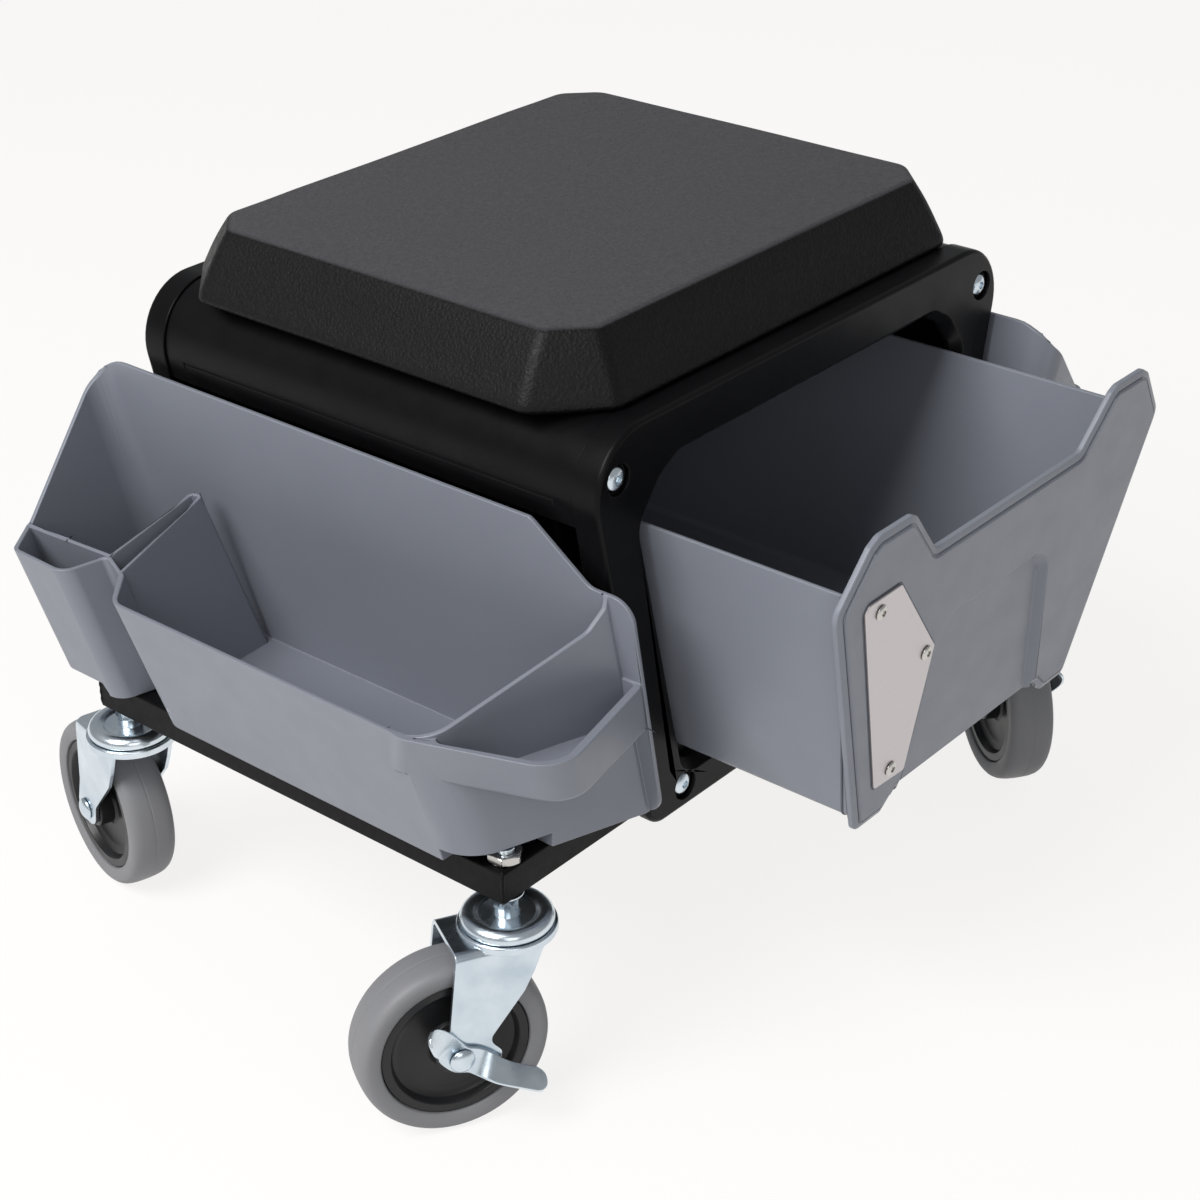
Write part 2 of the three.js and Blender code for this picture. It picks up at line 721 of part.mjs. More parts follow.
function badgeSolid() {
  const outline = badgeShares.map(onFront);
  const plate = frontLoft([
    [outline, gap],
    [outline, gap + badgeThickness - badgeEdge],
    [inset(outline, badgeEdge), gap + badgeThickness],
  ]);
  const holes = badgeScrewShares.map(onFront).map(([x, z]) =>
    rod(badgeScrewRadius + gap, faceY(z) - frontPlate, faceY(z) + frontPlate, { axis: "y", at: [x, 0, z] }));
  return cut(plate, ...holes);
}

// Runner on the left: a bar under the drawer's edge with a lip outside it
function runnerSolid() {
  const end = frameWidth / 2 - runnerEndInset;
  const low = frameTop + gap;
  return join(
    block(-runnerOuter, -runnerInner, -end, end, low, runnerTop),
    block(-runnerOuter, -runnerOuter + runnerLip, -end, end, low, runnerTop + runnerLipHeight),
  );
}

// Tray on the left. Each corner has its shares of depth and length at the rim and at the floor.
const trayShares = [
  [0, 1, 0, 1],
  [0.765, 0.975, 0.782, 0.977],
  [0.977, 0.927, 1, 0.934],
  [0.986, 0.811, 1, 0.823],
  [0.747, 0.797, 0.762, 0.806],
  [0.82, 0.744, 0.823, 0.754],
  [1, 0.704, 0.99, 0.709],
  [1, 0.097, 0.998, 0.094],
  [0, 0, 0, 0],
];
const trayRadiusShares = [0.64, 0.16, 0.32, 0.4, 0.12, 0.24, 0.48, 1, 0.16];
const trayRadii = trayRadiusShares.map((share) => share * trayCornerRadius);
const wedgeShares = [
  [0.82, 0.744, 0.823, 0.754],
  [0.111, 0.783, 0.064, 0.768],
  [0.13, 0.806, 0.064, 0.791],
  [0.747, 0.797, 0.762, 0.806],
];
const wedgeRadii = [0, wedgeRadius, wedgeRadius, 0];
const partitionShares = [
  [0.765, 0.985, 0.782, 0.985],
  [0.73, 0.795, 0.752, 0.8],
];
// The front pocket's outlines are shares of the rim's depth and length at its own lip and underside.
const pocketShares = [
  [1, 0.17, 0.924, 0.2],
  [1, 0.118, 0.924, 0.146],
  [0.771, -0.085, 0.669, -0.073],
  [0.012, -0.028, -0.033, -0.027],
  [0.012, 0.045, -0.033, 0.045],
  [0.915, 0.17, 0.83, 0.2],
];
const pocketRadiusShares = [0, 0.7, 1, 0.3, 0, 0];
const pocketRadii = pocketRadiusShares.map((share) => share * pocketCornerRadius);
const pocketHollowShares = [
  [0.915, 0.082, 0.834, 0.08],
  [0.745, -0.069, 0.655, -0.058],
  [0.061, -0.018, 0.029, -0.015],
  [0.061, 0.005, 0.029, 0.001],
];
const pocketHollowRadiusShares = [0.3, 0.75, 0.15, 0.1];
const pocketHollowRadii = pocketHollowRadiusShares.map((share) => share * pocketCornerRadius);
// Where the tray's rims step: shares of the rim's length from the front, and of its depth from the back
const zoneFrontShare = 0.6;
const zoneRearShare = 0.885;
const rearRimShare = 0.76;
const rearBackShare = 0.2;
const rearBackRiseShare = 0.94;
const middleRimShare = 0.79;
const middleBackShare = 0.1;
const frontRimShare = 0.98;
const frontBackShare = 0.2;
const frontFlangeShare = 0.12;
const flangeStepShare = 0.8;
const outerWallShare = 0.7;
const outerDipShares = [0.16, 0.704, 0.744];

function trayCorners(shares, radii, height) {
  const t = height / trayRimHeight;
  return shares.map(([rimX, rimY, floorX, floorY], i) => {
    const rim = [-trayRimBack - trayRimDepth * rimX, trayRimFront + trayRimLength * rimY];
    const floor = [-trayFloorBack - trayFloorDepth * floorX, trayFloorFront + trayFloorLength * floorY];
    return [THREE.MathUtils.lerp(floor[0], rim[0], t), THREE.MathUtils.lerp(floor[1], rim[1], t), radii[i]];
  });
}

function pocketCorners(shares, radii, height) {
  const t = (height - trayRimHeight + pocketHeight) / pocketHeight;
  return shares.map(([rimX, rimY, lowX, lowY], i) => [
    -trayRimBack - trayRimDepth * THREE.MathUtils.lerp(lowX, rimX, t),
    trayRimFront + trayRimLength * THREE.MathUtils.lerp(lowY, rimY, t),
    radii[i],
  ]);
}

function traySolid() {
  const level = (corners, height) => [corners(height), trayBottom + height];
  const heights = [0, trayRimHeight, trayBackHeight];
  const main = (height) => trayCorners(trayShares, trayRadii, height);
  const outer = loft(heights.map((height) => level(main, height)));
  const hollow = loft([trayWall, trayRimHeight, trayBackHeight + overrun].map((height) =>
    [inset(main(height), trayWall), trayBottom + height]));

  const wedge = (height) => trayCorners(wedgeShares, wedgeRadii, height);
  const wedgeSolid = loft(heights.map((height) => level(wedge, height)));
  const wedgeHollow = loft([trayWall, trayRimHeight, trayBackHeight + overrun].map((height) =>
    [inset(wedge(height), wedgeWall), trayBottom + height]));

  const partition = (height) => {
    const [rear, front] = trayCorners(partitionShares, [], height);
    const half = partitionWall / 2;
    return [[rear[0] - half, rear[1]], [front[0] - half, front[1]], [front[0] + half, front[1]],
      [rear[0] + half, rear[1]]];
  };
  const partitionSolid = loft(heights.map((height) => level(partition, height)));

  const pocketLow = trayRimHeight - pocketHeight;
  const pocket = (height) => pocketCorners(pocketShares, pocketRadii, height);
  const pocketSolid = loft([pocketLow, trayRimHeight].map((height) => level(pocket, height)));
  const pocketSpace = (height) => pocketCorners(pocketHollowShares, pocketHollowRadii, height);
  const pocketHollow = loft([trayRimHeight - pocketLipHeight, trayRimHeight + overrun].map((height) =>
    level(pocketSpace, height)));

  // The back wall leans outwards and runs on forward as a flange
  const lean = (trayRimBack - trayFloorBack) / trayRimHeight;
  const backX = (height) => -trayFloorBack - lean * height;
  const backTop = trayBackHeight;
  const flange = loft([0, flangeHeight].map((height) => [
    rectangle(backX(height) - trayWall, backX(height), flangeFront, trayRimFront + flangeRadius),
    trayBottom + height,
  ]));
  const flangeCorner = alongX([
    [flangeFront, trayBottom, flangeRadius],
    [trayRimFront + frameWidth, trayBottom],
    [trayRimFront + frameWidth, trayBottom + flangeHeight],
    [flangeFront, trayBottom + flangeHeight, flangeRadius],
  ], -frameLength, 0);

  // What rises above the rims is cut away zone by zone
  const over = trayBackHeight + overrun * 2;
  const far = -frameLength;
  const profileCut = (points, y0, y1) => alongY([
    ...points.map(([x, height]) => [x, trayBottom + height]),
    [backX(over) - trayWall, trayBottom + over],
    [far, trayBottom + over],
  ], y0, y1);
  const inward = (height) => [backX(height) - trayWall, height];
  const rimX = (share) => -trayRimBack - trayRimDepth * share;
  const rimY = (share) => trayRimFront + trayRimLength * share;
  const zoneFront = rimY(zoneFrontShare);
  const zoneRear = rimY(zoneRearShare);
  const rearCut = profileCut([
    [far, rearRimHeight],
    [rimX(rearRimShare), rearRimHeight],
    [rimX(rearBackShare), backTop * rearBackRiseShare],
    inward(backTop),
  ], zoneRear, frameLength);
  const middleCut = profileCut([
    [far, rearRimHeight],
    [rimX(middleRimShare), rearRimHeight],
    [rimX(middleBackShare), wedgeRimHeight],
    inward(wedgeRimHeight + trayWall),
  ], zoneFront, zoneRear);
  const frontCut = profileCut([
    [far, trayRimHeight],
    [rimX(frontRimShare), trayRimHeight],
    [rimX(frontBackShare), frontRimHeight],
    [rimX(frontFlangeShare), frontRimHeight + flangeRadius * flangeStepShare],
    inward(flangeHeight),
  ], -frameLength, zoneFront);
  const [dipFront, dipRear, dipEnd] = outerDipShares.map(rimY);
  const outerCut = alongX([
    [dipFront, trayBottom + trayRimHeight],
    [dipRear, trayBottom + trayRimHeight],
    [dipEnd, trayBottom + rearRimHeight],
    [frameLength, trayBottom + rearRimHeight],
    [frameLength, trayBottom + over],
    [dipFront, trayBottom + over],
  ], far, rimX(outerWallShare));
  const backCut = alongX([
    [backSlopeEnd, trayBottom + flangeHeight],
    [backSlopeStart, trayBottom + backTop],
    [backSlopeStart, trayBottom + over],
    [-frameLength, trayBottom + over],
    [-frameLength, trayBottom + flangeHeight],
  ], far, 0);

  // Raised floors clear the stem nuts on the frame's corners
  const notchRoof = trayBottom + notchHeight;
  const raised = (y0, y1) => block(far, notchX + trayWall, y0, y1, trayBottom, notchRoof + trayWall);
  const notch = (y0, y1) => block(far, notchX, y0, y1, trayBottom - overrun, notchRoof);
  const floors = join(
    raised(-frameLength, notchFront + trayWall),
    raised(notchRear - trayWall, frameLength),
  );
  const inside = join(wedgeSolid, partitionSolid, floors).intersect(outer);

  const shell = cut(join(cut(join(outer, pocketSolid), hollow), inside), wedgeHollow, pocketHollow);
  const trimmed = cut(shell, rearCut, middleCut, frontCut, outerCut);
  const whole = cut(join(trimmed, flange.intersect(flangeCorner)), backCut);
  return join(cut(whole, notch(-frameLength, notchFront), notch(notchRear, frameLength)), hooks());
}

// Two hooks behind the tray's back wall drop behind the lip of the side panel's ledge
function hooks() {
  const shelf = frameTop + ledgeRise;
  const lipTop = shelf + ledgeThickness + ledgeLipHeight;
  const armLow = lipTop + gap;
  const armHigh = armLow + hookThickness;
  const lean = (trayRimBack - trayFloorBack) / trayRimHeight;
  const wall = -trayFloorBack - lean * (armLow - trayBottom) - trayWall / 2;
  const lipInner = -sideHalf(shelf) - ledgeReach + ledgeLip;
  const tipOuter = lipInner + gap;
  const tipInner = tipOuter + hookThickness;
  const arms = [-hookY, hookY].map((y) => join(
    block(wall, tipInner, y - hookWidth / 2, y + hookWidth / 2, armLow, armHigh),
    block(tipOuter, tipInner, y - hookWidth / 2, y + hookWidth / 2, armLow - hookDrop, armHigh),
  ));
  return join(...arms);
}

// Caster pieces, drawn with the wheel trailing towards +X and the axle along Y
const forkShares = [
  [-0.489, 1], [-0.41, 0.959], [-0.22, 0.694], [-0.052, 0.512], [0.535, 0.094], [0.336, -0.033],
  [0.367, -0.165], [1.04, -0.116], [1.239, 0.066], [1.144, 0.293], [0.997, 1],
];
const forkEndShares = [
  [-0.489, 1], [-0.41, 0.959], [-0.22, 0.694], [-0.052, 0.512], [0.62, 0.1], [0.72, -0.14],
  [1.27, -0.15], [1.29, 0.04], [1.144, 0.293], [0.997, 1],
];
const forkRadiusShares = [0, 0, 0, 0, 0.625, 0.5, 0.625, 1.125, 0, 0, 0];
const forkEndRadiusShares = [0, 0, 0, 0, 1, 1, 1, 0, 0, 0];
const kingpinHeadShare = 0.6;
const cupShares = [[1, 0.42], [0.9, 0.86], [0.72, 1]];
const cupRecessShare = 0.6;

function stemSolid() {
  const low = forkUnder - gap - kingpinHeadHeight;
  const cupUnder = cupBottom + cupDish;
  const top = frameTop + gap + stemNutHeight + stemEnd;
  const body = turned([
    [0, low],
    [kingpinHeadRadius, low],
    [kingpinHeadRadius, low + kingpinHeadHeight * kingpinHeadShare],
    [kingpinRadius, forkUnder - gap],
    [kingpinRadius, cupUnder],
    [cupRadius - sheet, cupUnder],
    [cupRadius, cupBottom],
    ...cupShares.map(([radius, rise]) => [cupRadius * radius, cupBottom + cupRise * rise]),
    [cupRecess - sheet / 2, cupBottom + cupRise * cupRecessShare],
    [collarRadius, cupBottom + cupRise * cupRecessShare],
    [collarRadius, hexBottom],
    [stemRadius, hexBottom],
    [stemRadius, top - stemChamfer],
    [stemRadius - stemChamfer, top],
    [0, top],
  ], bearingSteps);
  return join(body, alongZ(hexagon(hexFlats), hexBottom - gap, hexTop));
}

function forkSolid(braked) {
  const shares = braked ? forkShares : forkEndShares;
  const radiusShares = braked ? forkRadiusShares : forkEndRadiusShares;
  const rise = forkRise + sheet;
  const silhouette = shares.map(([x, z], i) =>
    [x * trail, wheelRadius + z * rise, radiusShares[i] * forkCorner]);
  const reach = trail * 2;
  const inner = forkHalfWidth - sheet;
  const channel = cut(
    alongX([[-forkHalfWidth, 0], [forkHalfWidth, 0], [forkHalfWidth, forkTop, forkBend],
      [-forkHalfWidth, forkTop, forkBend]], -reach, reach),
    alongX([[-inner, -overrun], [inner, -overrun], [inner, forkUnder, forkBend - sheet],
      [-inner, forkUnder, forkBend - sheet]], -reach - overrun, reach + overrun),
  );
  const legs = channel.intersect(alongY(silhouette, -forkHalfWidth - overrun, forkHalfWidth + overrun));
  const race = turned([
    [kingpinRadius + gap, forkUnder],
    [raceRadius, forkUnder],
    [raceRadius, raceTop],
    [raceRadius - raceLip, raceTop],
    [raceRadius - raceLip - raceRise, forkTop],
    [kingpinRadius + gap, forkTop],
  ], bearingSteps);
  const axleBore = rod(axleRadius + gap, -reach, reach, { axis: "y", at: [trail, 0, wheelRadius] });
  return cut(join(legs, race), axleBore, rod(kingpinRadius + gap, 0, forkTop + overrun));
}

function coreSolid() {
  const inner = coreRadius - coreRimWidth;
  const half = [
    [axleRadius + gap, hubHalfWidth],
    [hubRadius, hubHalfWidth],
    [hubRadius + hubFlare, webHalfWidth],
    [inner - hubFlare, webHalfWidth],
    [inner, coreHalfWidth],
    [coreRadius, coreHalfWidth],
  ];
  const lower = half.map(([radius, width]) => [radius, -width]);
  return turned([...lower, ...half.reverse()], wheelSteps, { axis: "y" });
}

const tyreWallShares = [0.7, 0.38];
const tyreTreadShares = [0.5, 0.8, 3];

function tyreSolid() {
  const inner = coreRadius + gap;
  const tread = wheelRadius;
  const [footShare, widestShare] = tyreWallShares;
  const [dropShare, edgeShare, crownShare] = tyreTreadShares;
  const half = [
    [inner, tyreHalfWidth - tyreShoulder * footShare],
    [tread - tyreThickness * widestShare, tyreHalfWidth],
    [tread - tyreShoulder * dropShare, tyreHalfWidth - tyreShoulder * edgeShare],
    [tread, tyreHalfWidth - tyreShoulder * crownShare],
  ];
  const lower = half.map(([radius, width]) => [radius, -width]);
  return turned([...lower, ...half.reverse()], wheelSteps, { axis: "y" });
}

// Brake lever: a strip that lies on the leg at the axle and twists flat towards both ends.
// Each station is [x and z off the axle as shares of the reach, width share, twist in degrees].
const leverShares = [
  [-0.887, -0.468, 0.5, 90],
  [-0.84, -0.441, 0.86, 90],
  [-0.72, -0.38, 1, 90],
  [-0.54, -0.28, 1, 90],
  [-0.37, -0.18, 1, 62],
  [-0.245, -0.1, 1, 25],
  [-0.13, -0.045, 1.1, 0],
  [0, 0, 1.14, 0],
  [0.1, 0.1, 1.1, 0],
  [0.175, 0.235, 1, 30],
  [0.25, 0.345, 1, 68],
  [0.315, 0.44, 1, 90],
  [0.362, 0.51, 0.72, 90],
];

const leverStandShare = 1.02;

function leverSolid() {
  const centres = leverShares.map(([x, z, , twist], i) => {
    const angle = THREE.MathUtils.degToRad(twist);
    const halfWidth = leverWidth * leverShares[i][2] / 2;
    const seat = forkHalfWidth + gap + leverSheet / 2;
    const away = halfWidth * Math.sin(angle) * leverStandShare;
    return new THREE.Vector3(x * leverReach, seat + away, z * leverReach);
  });
  const positions = [];
  centres.forEach((centre, i) => {
    const [, , widthShare, twist] = leverShares[i];
    const before = centres[Math.max(i - 1, 0)];
    const after = centres[Math.min(i + 1, centres.length - 1)];
    const ahead = after.clone().sub(before).setY(0).normalize();
    const outward = new THREE.Vector3(0, 1, 0);
    const flat = outward.clone().cross(ahead);
    const angle = THREE.MathUtils.degToRad(twist);
    const across = flat.clone().multiplyScalar(Math.cos(angle)).addScaledVector(outward, Math.sin(angle));
    const through = ahead.clone().cross(across);
    const wide = leverWidth * widthShare / 2;
    const thick = leverSheet / 2;
    [[-1, -1], [1, -1], [1, 1], [-1, 1]].forEach(([u, v]) => {
      const edge = centre.clone().addScaledVector(across, u * wide);
      positions.push(...edge.addScaledVector(through, v * thick));
    });
  });
  const triangles = [0, 2, 1, 0, 3, 2];
  for (let ring = 0; ring < centres.length - 1; ring += 1) {
    for (let i = 0; i < 4; i += 1) {
      const a = ring * 4 + i;
      const b = ring * 4 + (i + 1) % 4;
      triangles.push(a, b, b + 4, a, b + 4, a + 4);
    }
  }
  const last = (centres.length - 1) * 4;
  triangles.push(last, last + 1, last + 2, last, last + 2, last + 3);
  const geometry = new THREE.BufferGeometry();
  geometry.setAttribute("position", new THREE.Float32BufferAttribute(positions, 3));
  geometry.setIndex(triangles);
  return cut(solidOf(geometry), rod(axleRadius + gap, 0, leverReach, { axis: "y" }));
}

function caster(name, x, y, swivel, braked) {
  const group = new THREE.Group();
  group.position.set(x, y, 0);
  group.rotation.z = THREE.MathUtils.degToRad(swivel);
  const axle = new THREE.Group();
  axle.position.set(trail, 0, wheelRadius);
  const seat = forkHalfWidth + gap + (braked ? leverSheet + gap : 0);
  const nutSeat = forkHalfWidth + gap;
  const length = seat + nutSeat + axleNutHeight + axleEnd;
  const bolt = piece(`${name}_axle_bolt`, screw({
    head: axleHeadRadius, rise: axleHeadHeight, shaft: axleRadius, length,
  }), "zinc");
  bolt.rotation.x = -Math.PI / 2;
  bolt.position.y = seat;
  const axleNut = piece(`${name}_axle_nut`, nut(axleNutFlats, axleNutHeight, axleRadius + gap), "zinc");
  axleNut.rotation.x = Math.PI / 2;
  axleNut.position.y = -nutSeat;
  axle.add(
    piece(`${name}_wheel_core`, coreSolid(), "wheelCore"),
    piece(`${name}_tyre`, tyreSolid(), "tyre"),
    bolt,
    axleNut,
  );
  if (braked) axle.add(piece(`${name}_brake_lever`, leverSolid(), "zinc"));
  const stemNut = piece(`${name}_stem_nut`, nut(stemNutFlats, stemNutHeight, stemRadius + gap), "nickel");
  stemNut.position.z = frameTop + gap;
  group.add(
    piece(`${name}_stem`, stemSolid(), "zinc"),
    stemNut,
    piece(`${name}_fork`, forkSolid(braked), "zinc"),
    axle,
  );
  return group;
}

// A copy turned half round about the upright axis, for the opposite side
function turnedAbout(mesh) {
  mesh.rotation.z = Math.PI;
  return mesh;
}

function panelScrews(name, turn) {
  const group = new THREE.Group();
  group.rotation.z = turn;
  const kinds = [
    ["upper", upperScrewX, upperScrewZ, screwLength],
    ["lower", lowerScrewX, lowerScrewZ, lowerScrewLength],
  ];
  kinds.forEach(([height, x, z, length]) => [-1, 1].forEach((side) => {
    const solid = screw({
      head: screwHeadRadius, rise: screwHeadHeight, shaft: screwRadius, length,
      flats: socketFlats, depth: socketDepth,
    });
    const mesh = piece(`${name}_screw_${height}_${side < 0 ? "left" : "right"}`, solid, "zinc");
    mesh.rotation.x = Math.PI / 2;
    mesh.position.set(side * x, -panelFace + counterboreDepth - gap, z);
    group.add(mesh);
  }));
  return group;
}

function drawer() {
  const group = new THREE.Group();
  group.add(
    piece("drawer_bin", drawerSolid(), "greyPlastic"),
    piece("badge_plate", badgeSolid(), "brushed"),
  );
  const names = ["badge_screw_top", "badge_screw_middle", "badge_screw_bottom"];
  badgeScrewShares.map(onFront).forEach(([x, z], i) => {
    const mesh = piece(names[i], screw({
      head: badgeScrewHeadRadius, rise: badgeScrewHeadHeight,
      shaft: badgeScrewRadius, length: badgeScrewLength,
      flats: badgeSocketFlats, depth: badgeSocketDepth,
    }), "nickel");
    mesh.rotation.x = Math.PI / 2 + leanAngle;
    mesh.position.set(x, faceY(z) - (gap + badgeThickness + gap), z);
    group.add(mesh);
  });
  return group;
}

function seatBolts() {
  const group = new THREE.Group();
  const shaft = coverWall + gap + boardThickness;
  const places = [
    ["front_left", -1, -1], ["front_right", 1, -1], ["rear_left", -1, 1], ["rear_right", 1, 1],
  ];
  places.forEach(([name, sideX, sideY]) => {
    const mesh = piece(`seat_bolt_${name}`, screw({
      head: seatBoltHeadRadius, rise: seatBoltHeadHeight, shaft: screwRadius, length: shaft,
    }), "zinc");
    mesh.rotation.x = Math.PI;
    mesh.position.set(sideX * seatBoltX, sideY * seatBoltY, coverTop - coverWall - gap);
    group.add(mesh);
  });
  return group;
}

const assembly = new THREE.Group();
assembly.add(
  piece("base_frame", baseFrame(), "steelPaint"),
  piece("front_panel", panelSolid(), "blackPlastic"),
  turnedAbout(piece("rear_panel", panelSolid(), "blackPlastic")),
  piece("top_cover", coverSolid(), "blackPlastic"),
  piece("side_panel_left", sidePanelSolid(), "blackPlastic"),
  turnedAbout(piece("side_panel_right", sidePanelSolid(), "blackPlastic")),
  piece("seat_cushion", seatSolid(), "seatSkin"),
  piece("seat_board", boardSolid(), "board"),
  piece("tray_left", traySolid(), "greyPlastic"),
  turnedAbout(piece("tray_right", traySolid(), "greyPlastic")),
  piece("drawer_runner_left", runnerSolid(), "zinc"),
  turnedAbout(piece("drawer_runner_right", runnerSolid(), "zinc")),
  panelScrews("front_panel", 0),
  panelScrews("rear_panel", Math.PI),
  seatBolts(),
  drawer(),
  caster("front_left", -stemX, -stemY, frontLeftSwivelDegrees, true),
  caster("front_right", stemX, -stemY, frontRightSwivelDegrees, true),
  caster("rear_left", -stemX, stemY, rearLeftSwivelDegrees, false),
  caster("rear_right", stemX, stemY, rearRightSwivelDegrees, false),
);

// The origin is on the floor, under the middle of the box round the part as it stands
const reach = new THREE.Box3().setFromObject(assembly, true);
const middle = reach.getCenter(new THREE.Vector3());
assembly.position.set(-middle.x, -middle.y, -reach.min.z);

const part = new THREE.Group();
part.add(assembly);
export default part;
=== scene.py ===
import math

import bmesh
import bpy
from bpy.props import FloatProperty, FloatVectorProperty, PointerProperty
from bpy.types import Operator, Panel, PropertyGroup
from mathutils import Matrix, Vector, noise


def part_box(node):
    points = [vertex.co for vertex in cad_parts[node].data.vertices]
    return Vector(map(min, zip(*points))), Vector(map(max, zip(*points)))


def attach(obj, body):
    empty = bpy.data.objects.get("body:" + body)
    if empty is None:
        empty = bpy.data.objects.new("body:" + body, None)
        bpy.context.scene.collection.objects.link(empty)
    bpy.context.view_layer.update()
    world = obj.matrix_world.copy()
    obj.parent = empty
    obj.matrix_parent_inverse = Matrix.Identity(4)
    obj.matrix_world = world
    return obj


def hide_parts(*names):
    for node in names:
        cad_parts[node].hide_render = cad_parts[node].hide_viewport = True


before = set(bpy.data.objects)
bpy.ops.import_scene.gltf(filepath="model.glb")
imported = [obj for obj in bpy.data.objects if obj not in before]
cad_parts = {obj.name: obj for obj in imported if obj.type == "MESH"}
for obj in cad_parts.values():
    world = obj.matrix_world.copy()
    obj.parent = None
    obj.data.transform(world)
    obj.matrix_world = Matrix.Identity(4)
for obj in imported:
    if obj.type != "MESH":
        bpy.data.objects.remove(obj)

bl_info = {
    "name": "Creeper seat",
    "version": (1, 0, 0),
    "blender": (4, 5, 0),
    "location": "View3D > Sidebar > Creeper seat",
    "description": "Builds a rolling work seat with trays, a drawer and swivel casters around its CAD frame",
    "category": "Object",
}

# Sizes below are in millimetres. The body's middle is at x = 0 and y = 0, and the floor at z = 0.
MM = 0.001
HOME_Y = sum(corner[1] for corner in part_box("base_frame")) / 2
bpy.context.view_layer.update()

# Play between pieces, how far a tool reaches past the face it cuts, and a reach past the whole body
GAP = 0.3
OVER = 2
FAR = 468
# The smallest radius that an inset leaves, and how finely arcs and turned pieces are divided
LEAST_RADIUS = 0.8
ARC_STEPS = 10
BROAD_ARC_STEPS = 14
TURN_STEPS = 72
FINE_STEPS = 40
# Points closer than this, in metres, are one point
SAME_PLACE = 0.000004

# Heights and places in the body, from the floor up
WHEEL_RADIUS = 50
TRAIL = 32.7
FORK_UNDER = 108
FORK_TOP = 110.5
RACE_TOP = 112.3
CUP_BOTTOM = 112.6
HEX_BOTTOM = 121.5
HEX_TOP = 129.4
FRAME_BOTTOM = 129.7
FRAME_TOP = 147.8
STEM_X = 222.5
STEM_Y = 139.5
PANEL_BACK = 148.3
PANEL_FACE = 157
PANEL_BOTTOM = 124
PANEL_TOP = 354.8
COVER_TOP = 354
COVER_BOTTOM = 305
COVER_END = 140.7
SEAT_BOTTOM = 354.3
BIN_BOTTOM = 155.9
DRAWER_BACK = 49
TRAY_BOTTOM = 148.1
FRONT_BOTTOM = 148.5
FRONT_Y = -259.3
FRONT_LEAN = 0.11
FRAME_LENGTH = 468
FRAME_WIDTH = 296
BODY_SLOPE = 0.2035
BIN_SLOPE = 0.2316

# Fixings: places in the end panels as (x, z) and under the seat as (x, y), and the radii of bores
UPPER_SCREW = (156, 330.6)
LOWER_SCREW = (103.7, 137.2)
SEAT_BOLT = (100.305, 79.8)
SCREW_BORE = 3.3
STEM_BORE = 5.3
AXLE_BORE = 4.3


# Half the width at a height, of the body, its side panels, the drawer and the opening for it
def body_half(z):
    return 132 + BODY_SLOPE * (z - PANEL_BOTTOM)


def side_half(z):
    return 118 + BODY_SLOPE * (z - FRAME_TOP)


def bin_half(z):
    return 101 + BIN_SLOPE * (z - BIN_BOTTOM)


def opening_half(z):
    return bin_half(z) + 2.4


def face_y(z):
    return FRONT_Y - FRONT_LEAN * (z - FRONT_BOTTOM)


# Outlines are counter-clockwise lists of corners (x, y, radius); shells are (points, faces) in millimetres.
def rounded(corners, steps=ARC_STEPS):
    points = []
    for i, (x, y, *rest) in enumerate(corners):
        radius = rest[0] if rest else 0
        here = Vector((x, y))
        if not radius:
            points.append((x, y))
            continue
        before = (Vector(corners[i - 1][:2]) - here).normalized()
        after = (Vector(corners[(i + 1) % len(corners)][:2]) - here).normalized()
        half = math.acos(max(-1, min(1, before.dot(after)))) / 2
        centre = here + (before + after).normalized() * (radius / math.sin(half))
        start = here + before * (radius / math.tan(half)) - centre
        end = here + after * (radius / math.tan(half)) - centre
        sweep = math.atan2(start.x * end.y - start.y * end.x, start.dot(end))
        for step in range(steps + 1):
            turn = sweep * step / steps
            cos, sin = math.cos(turn), math.sin(turn)
            points.append((centre.x + start.x * cos - start.y * sin,
                           centre.y + start.x * sin + start.y * cos))
    return points


def inset(corners, distance):
    shifted = []
    for i, (x, y, *rest) in enumerate(corners):
        radius = rest[0] if rest else 0
        arriving = (Vector((x, y)) - Vector(corners[i - 1][:2])).normalized()
        leaving = (Vector(corners[(i + 1) % len(corners)][:2]) - Vector((x, y))).normalized()
        scale = distance / (1 + arriving.dot(leaving))
        bend = math.copysign(1, arriving.x * leaving.y - arriving.y * leaving.x)
        new_radius = max(radius - bend * distance, LEAST_RADIUS) if radius else 0
        shifted.append((x - (arriving.y + leaving.y) * scale, y + (arriving.x + leaving.x) * scale,
                        new_radius))
    return shifted


def rectangle(x0, x1, y0, y1, radius=0):
    return [(x0, y0, radius), (x1, y0, radius), (x1, y1, radius), (x0, y1, radius)]


def tapering(half, low, high, wall=0, low_radius=0, high_radius=0):
    return [(-half(low) + wall, low, low_radius), (half(low) - wall, low, low_radius),
            (half(high) - wall, high, high_radius), (-half(high) + wall, high, high_radius)]


def mirrored(corners):
    return [(-x, y, radius) for x, y, radius in reversed(corners)]


def hexagon(flats):
    corner = flats / math.sqrt(3)
    return [(corner * math.cos(i * math.pi / 3), corner * math.sin(i * math.pi / 3)) for i in range(6)]


def rings_to_shell(rings):
    count = len(rings[0])
    faces = [tuple(range(count - 1, -1, -1))]
    for ring in range(len(rings) - 1):
        for i in range(count):
            a = ring * count + i
            b = ring * count + (i + 1) % count
            faces.append((a, b, b + count, a + count))
    faces.append(tuple(range((len(rings) - 1) * count, len(rings) * count)))
    return [point for ring in rings for point in ring], faces


def loft(levels, steps=ARC_STEPS):
    return rings_to_shell([[(x, y, z) for x, y in rounded(corners, steps)] for corners, z in levels])


def changed(shell, rule):
    return [rule(*point) for point in shell[0]], shell[1]


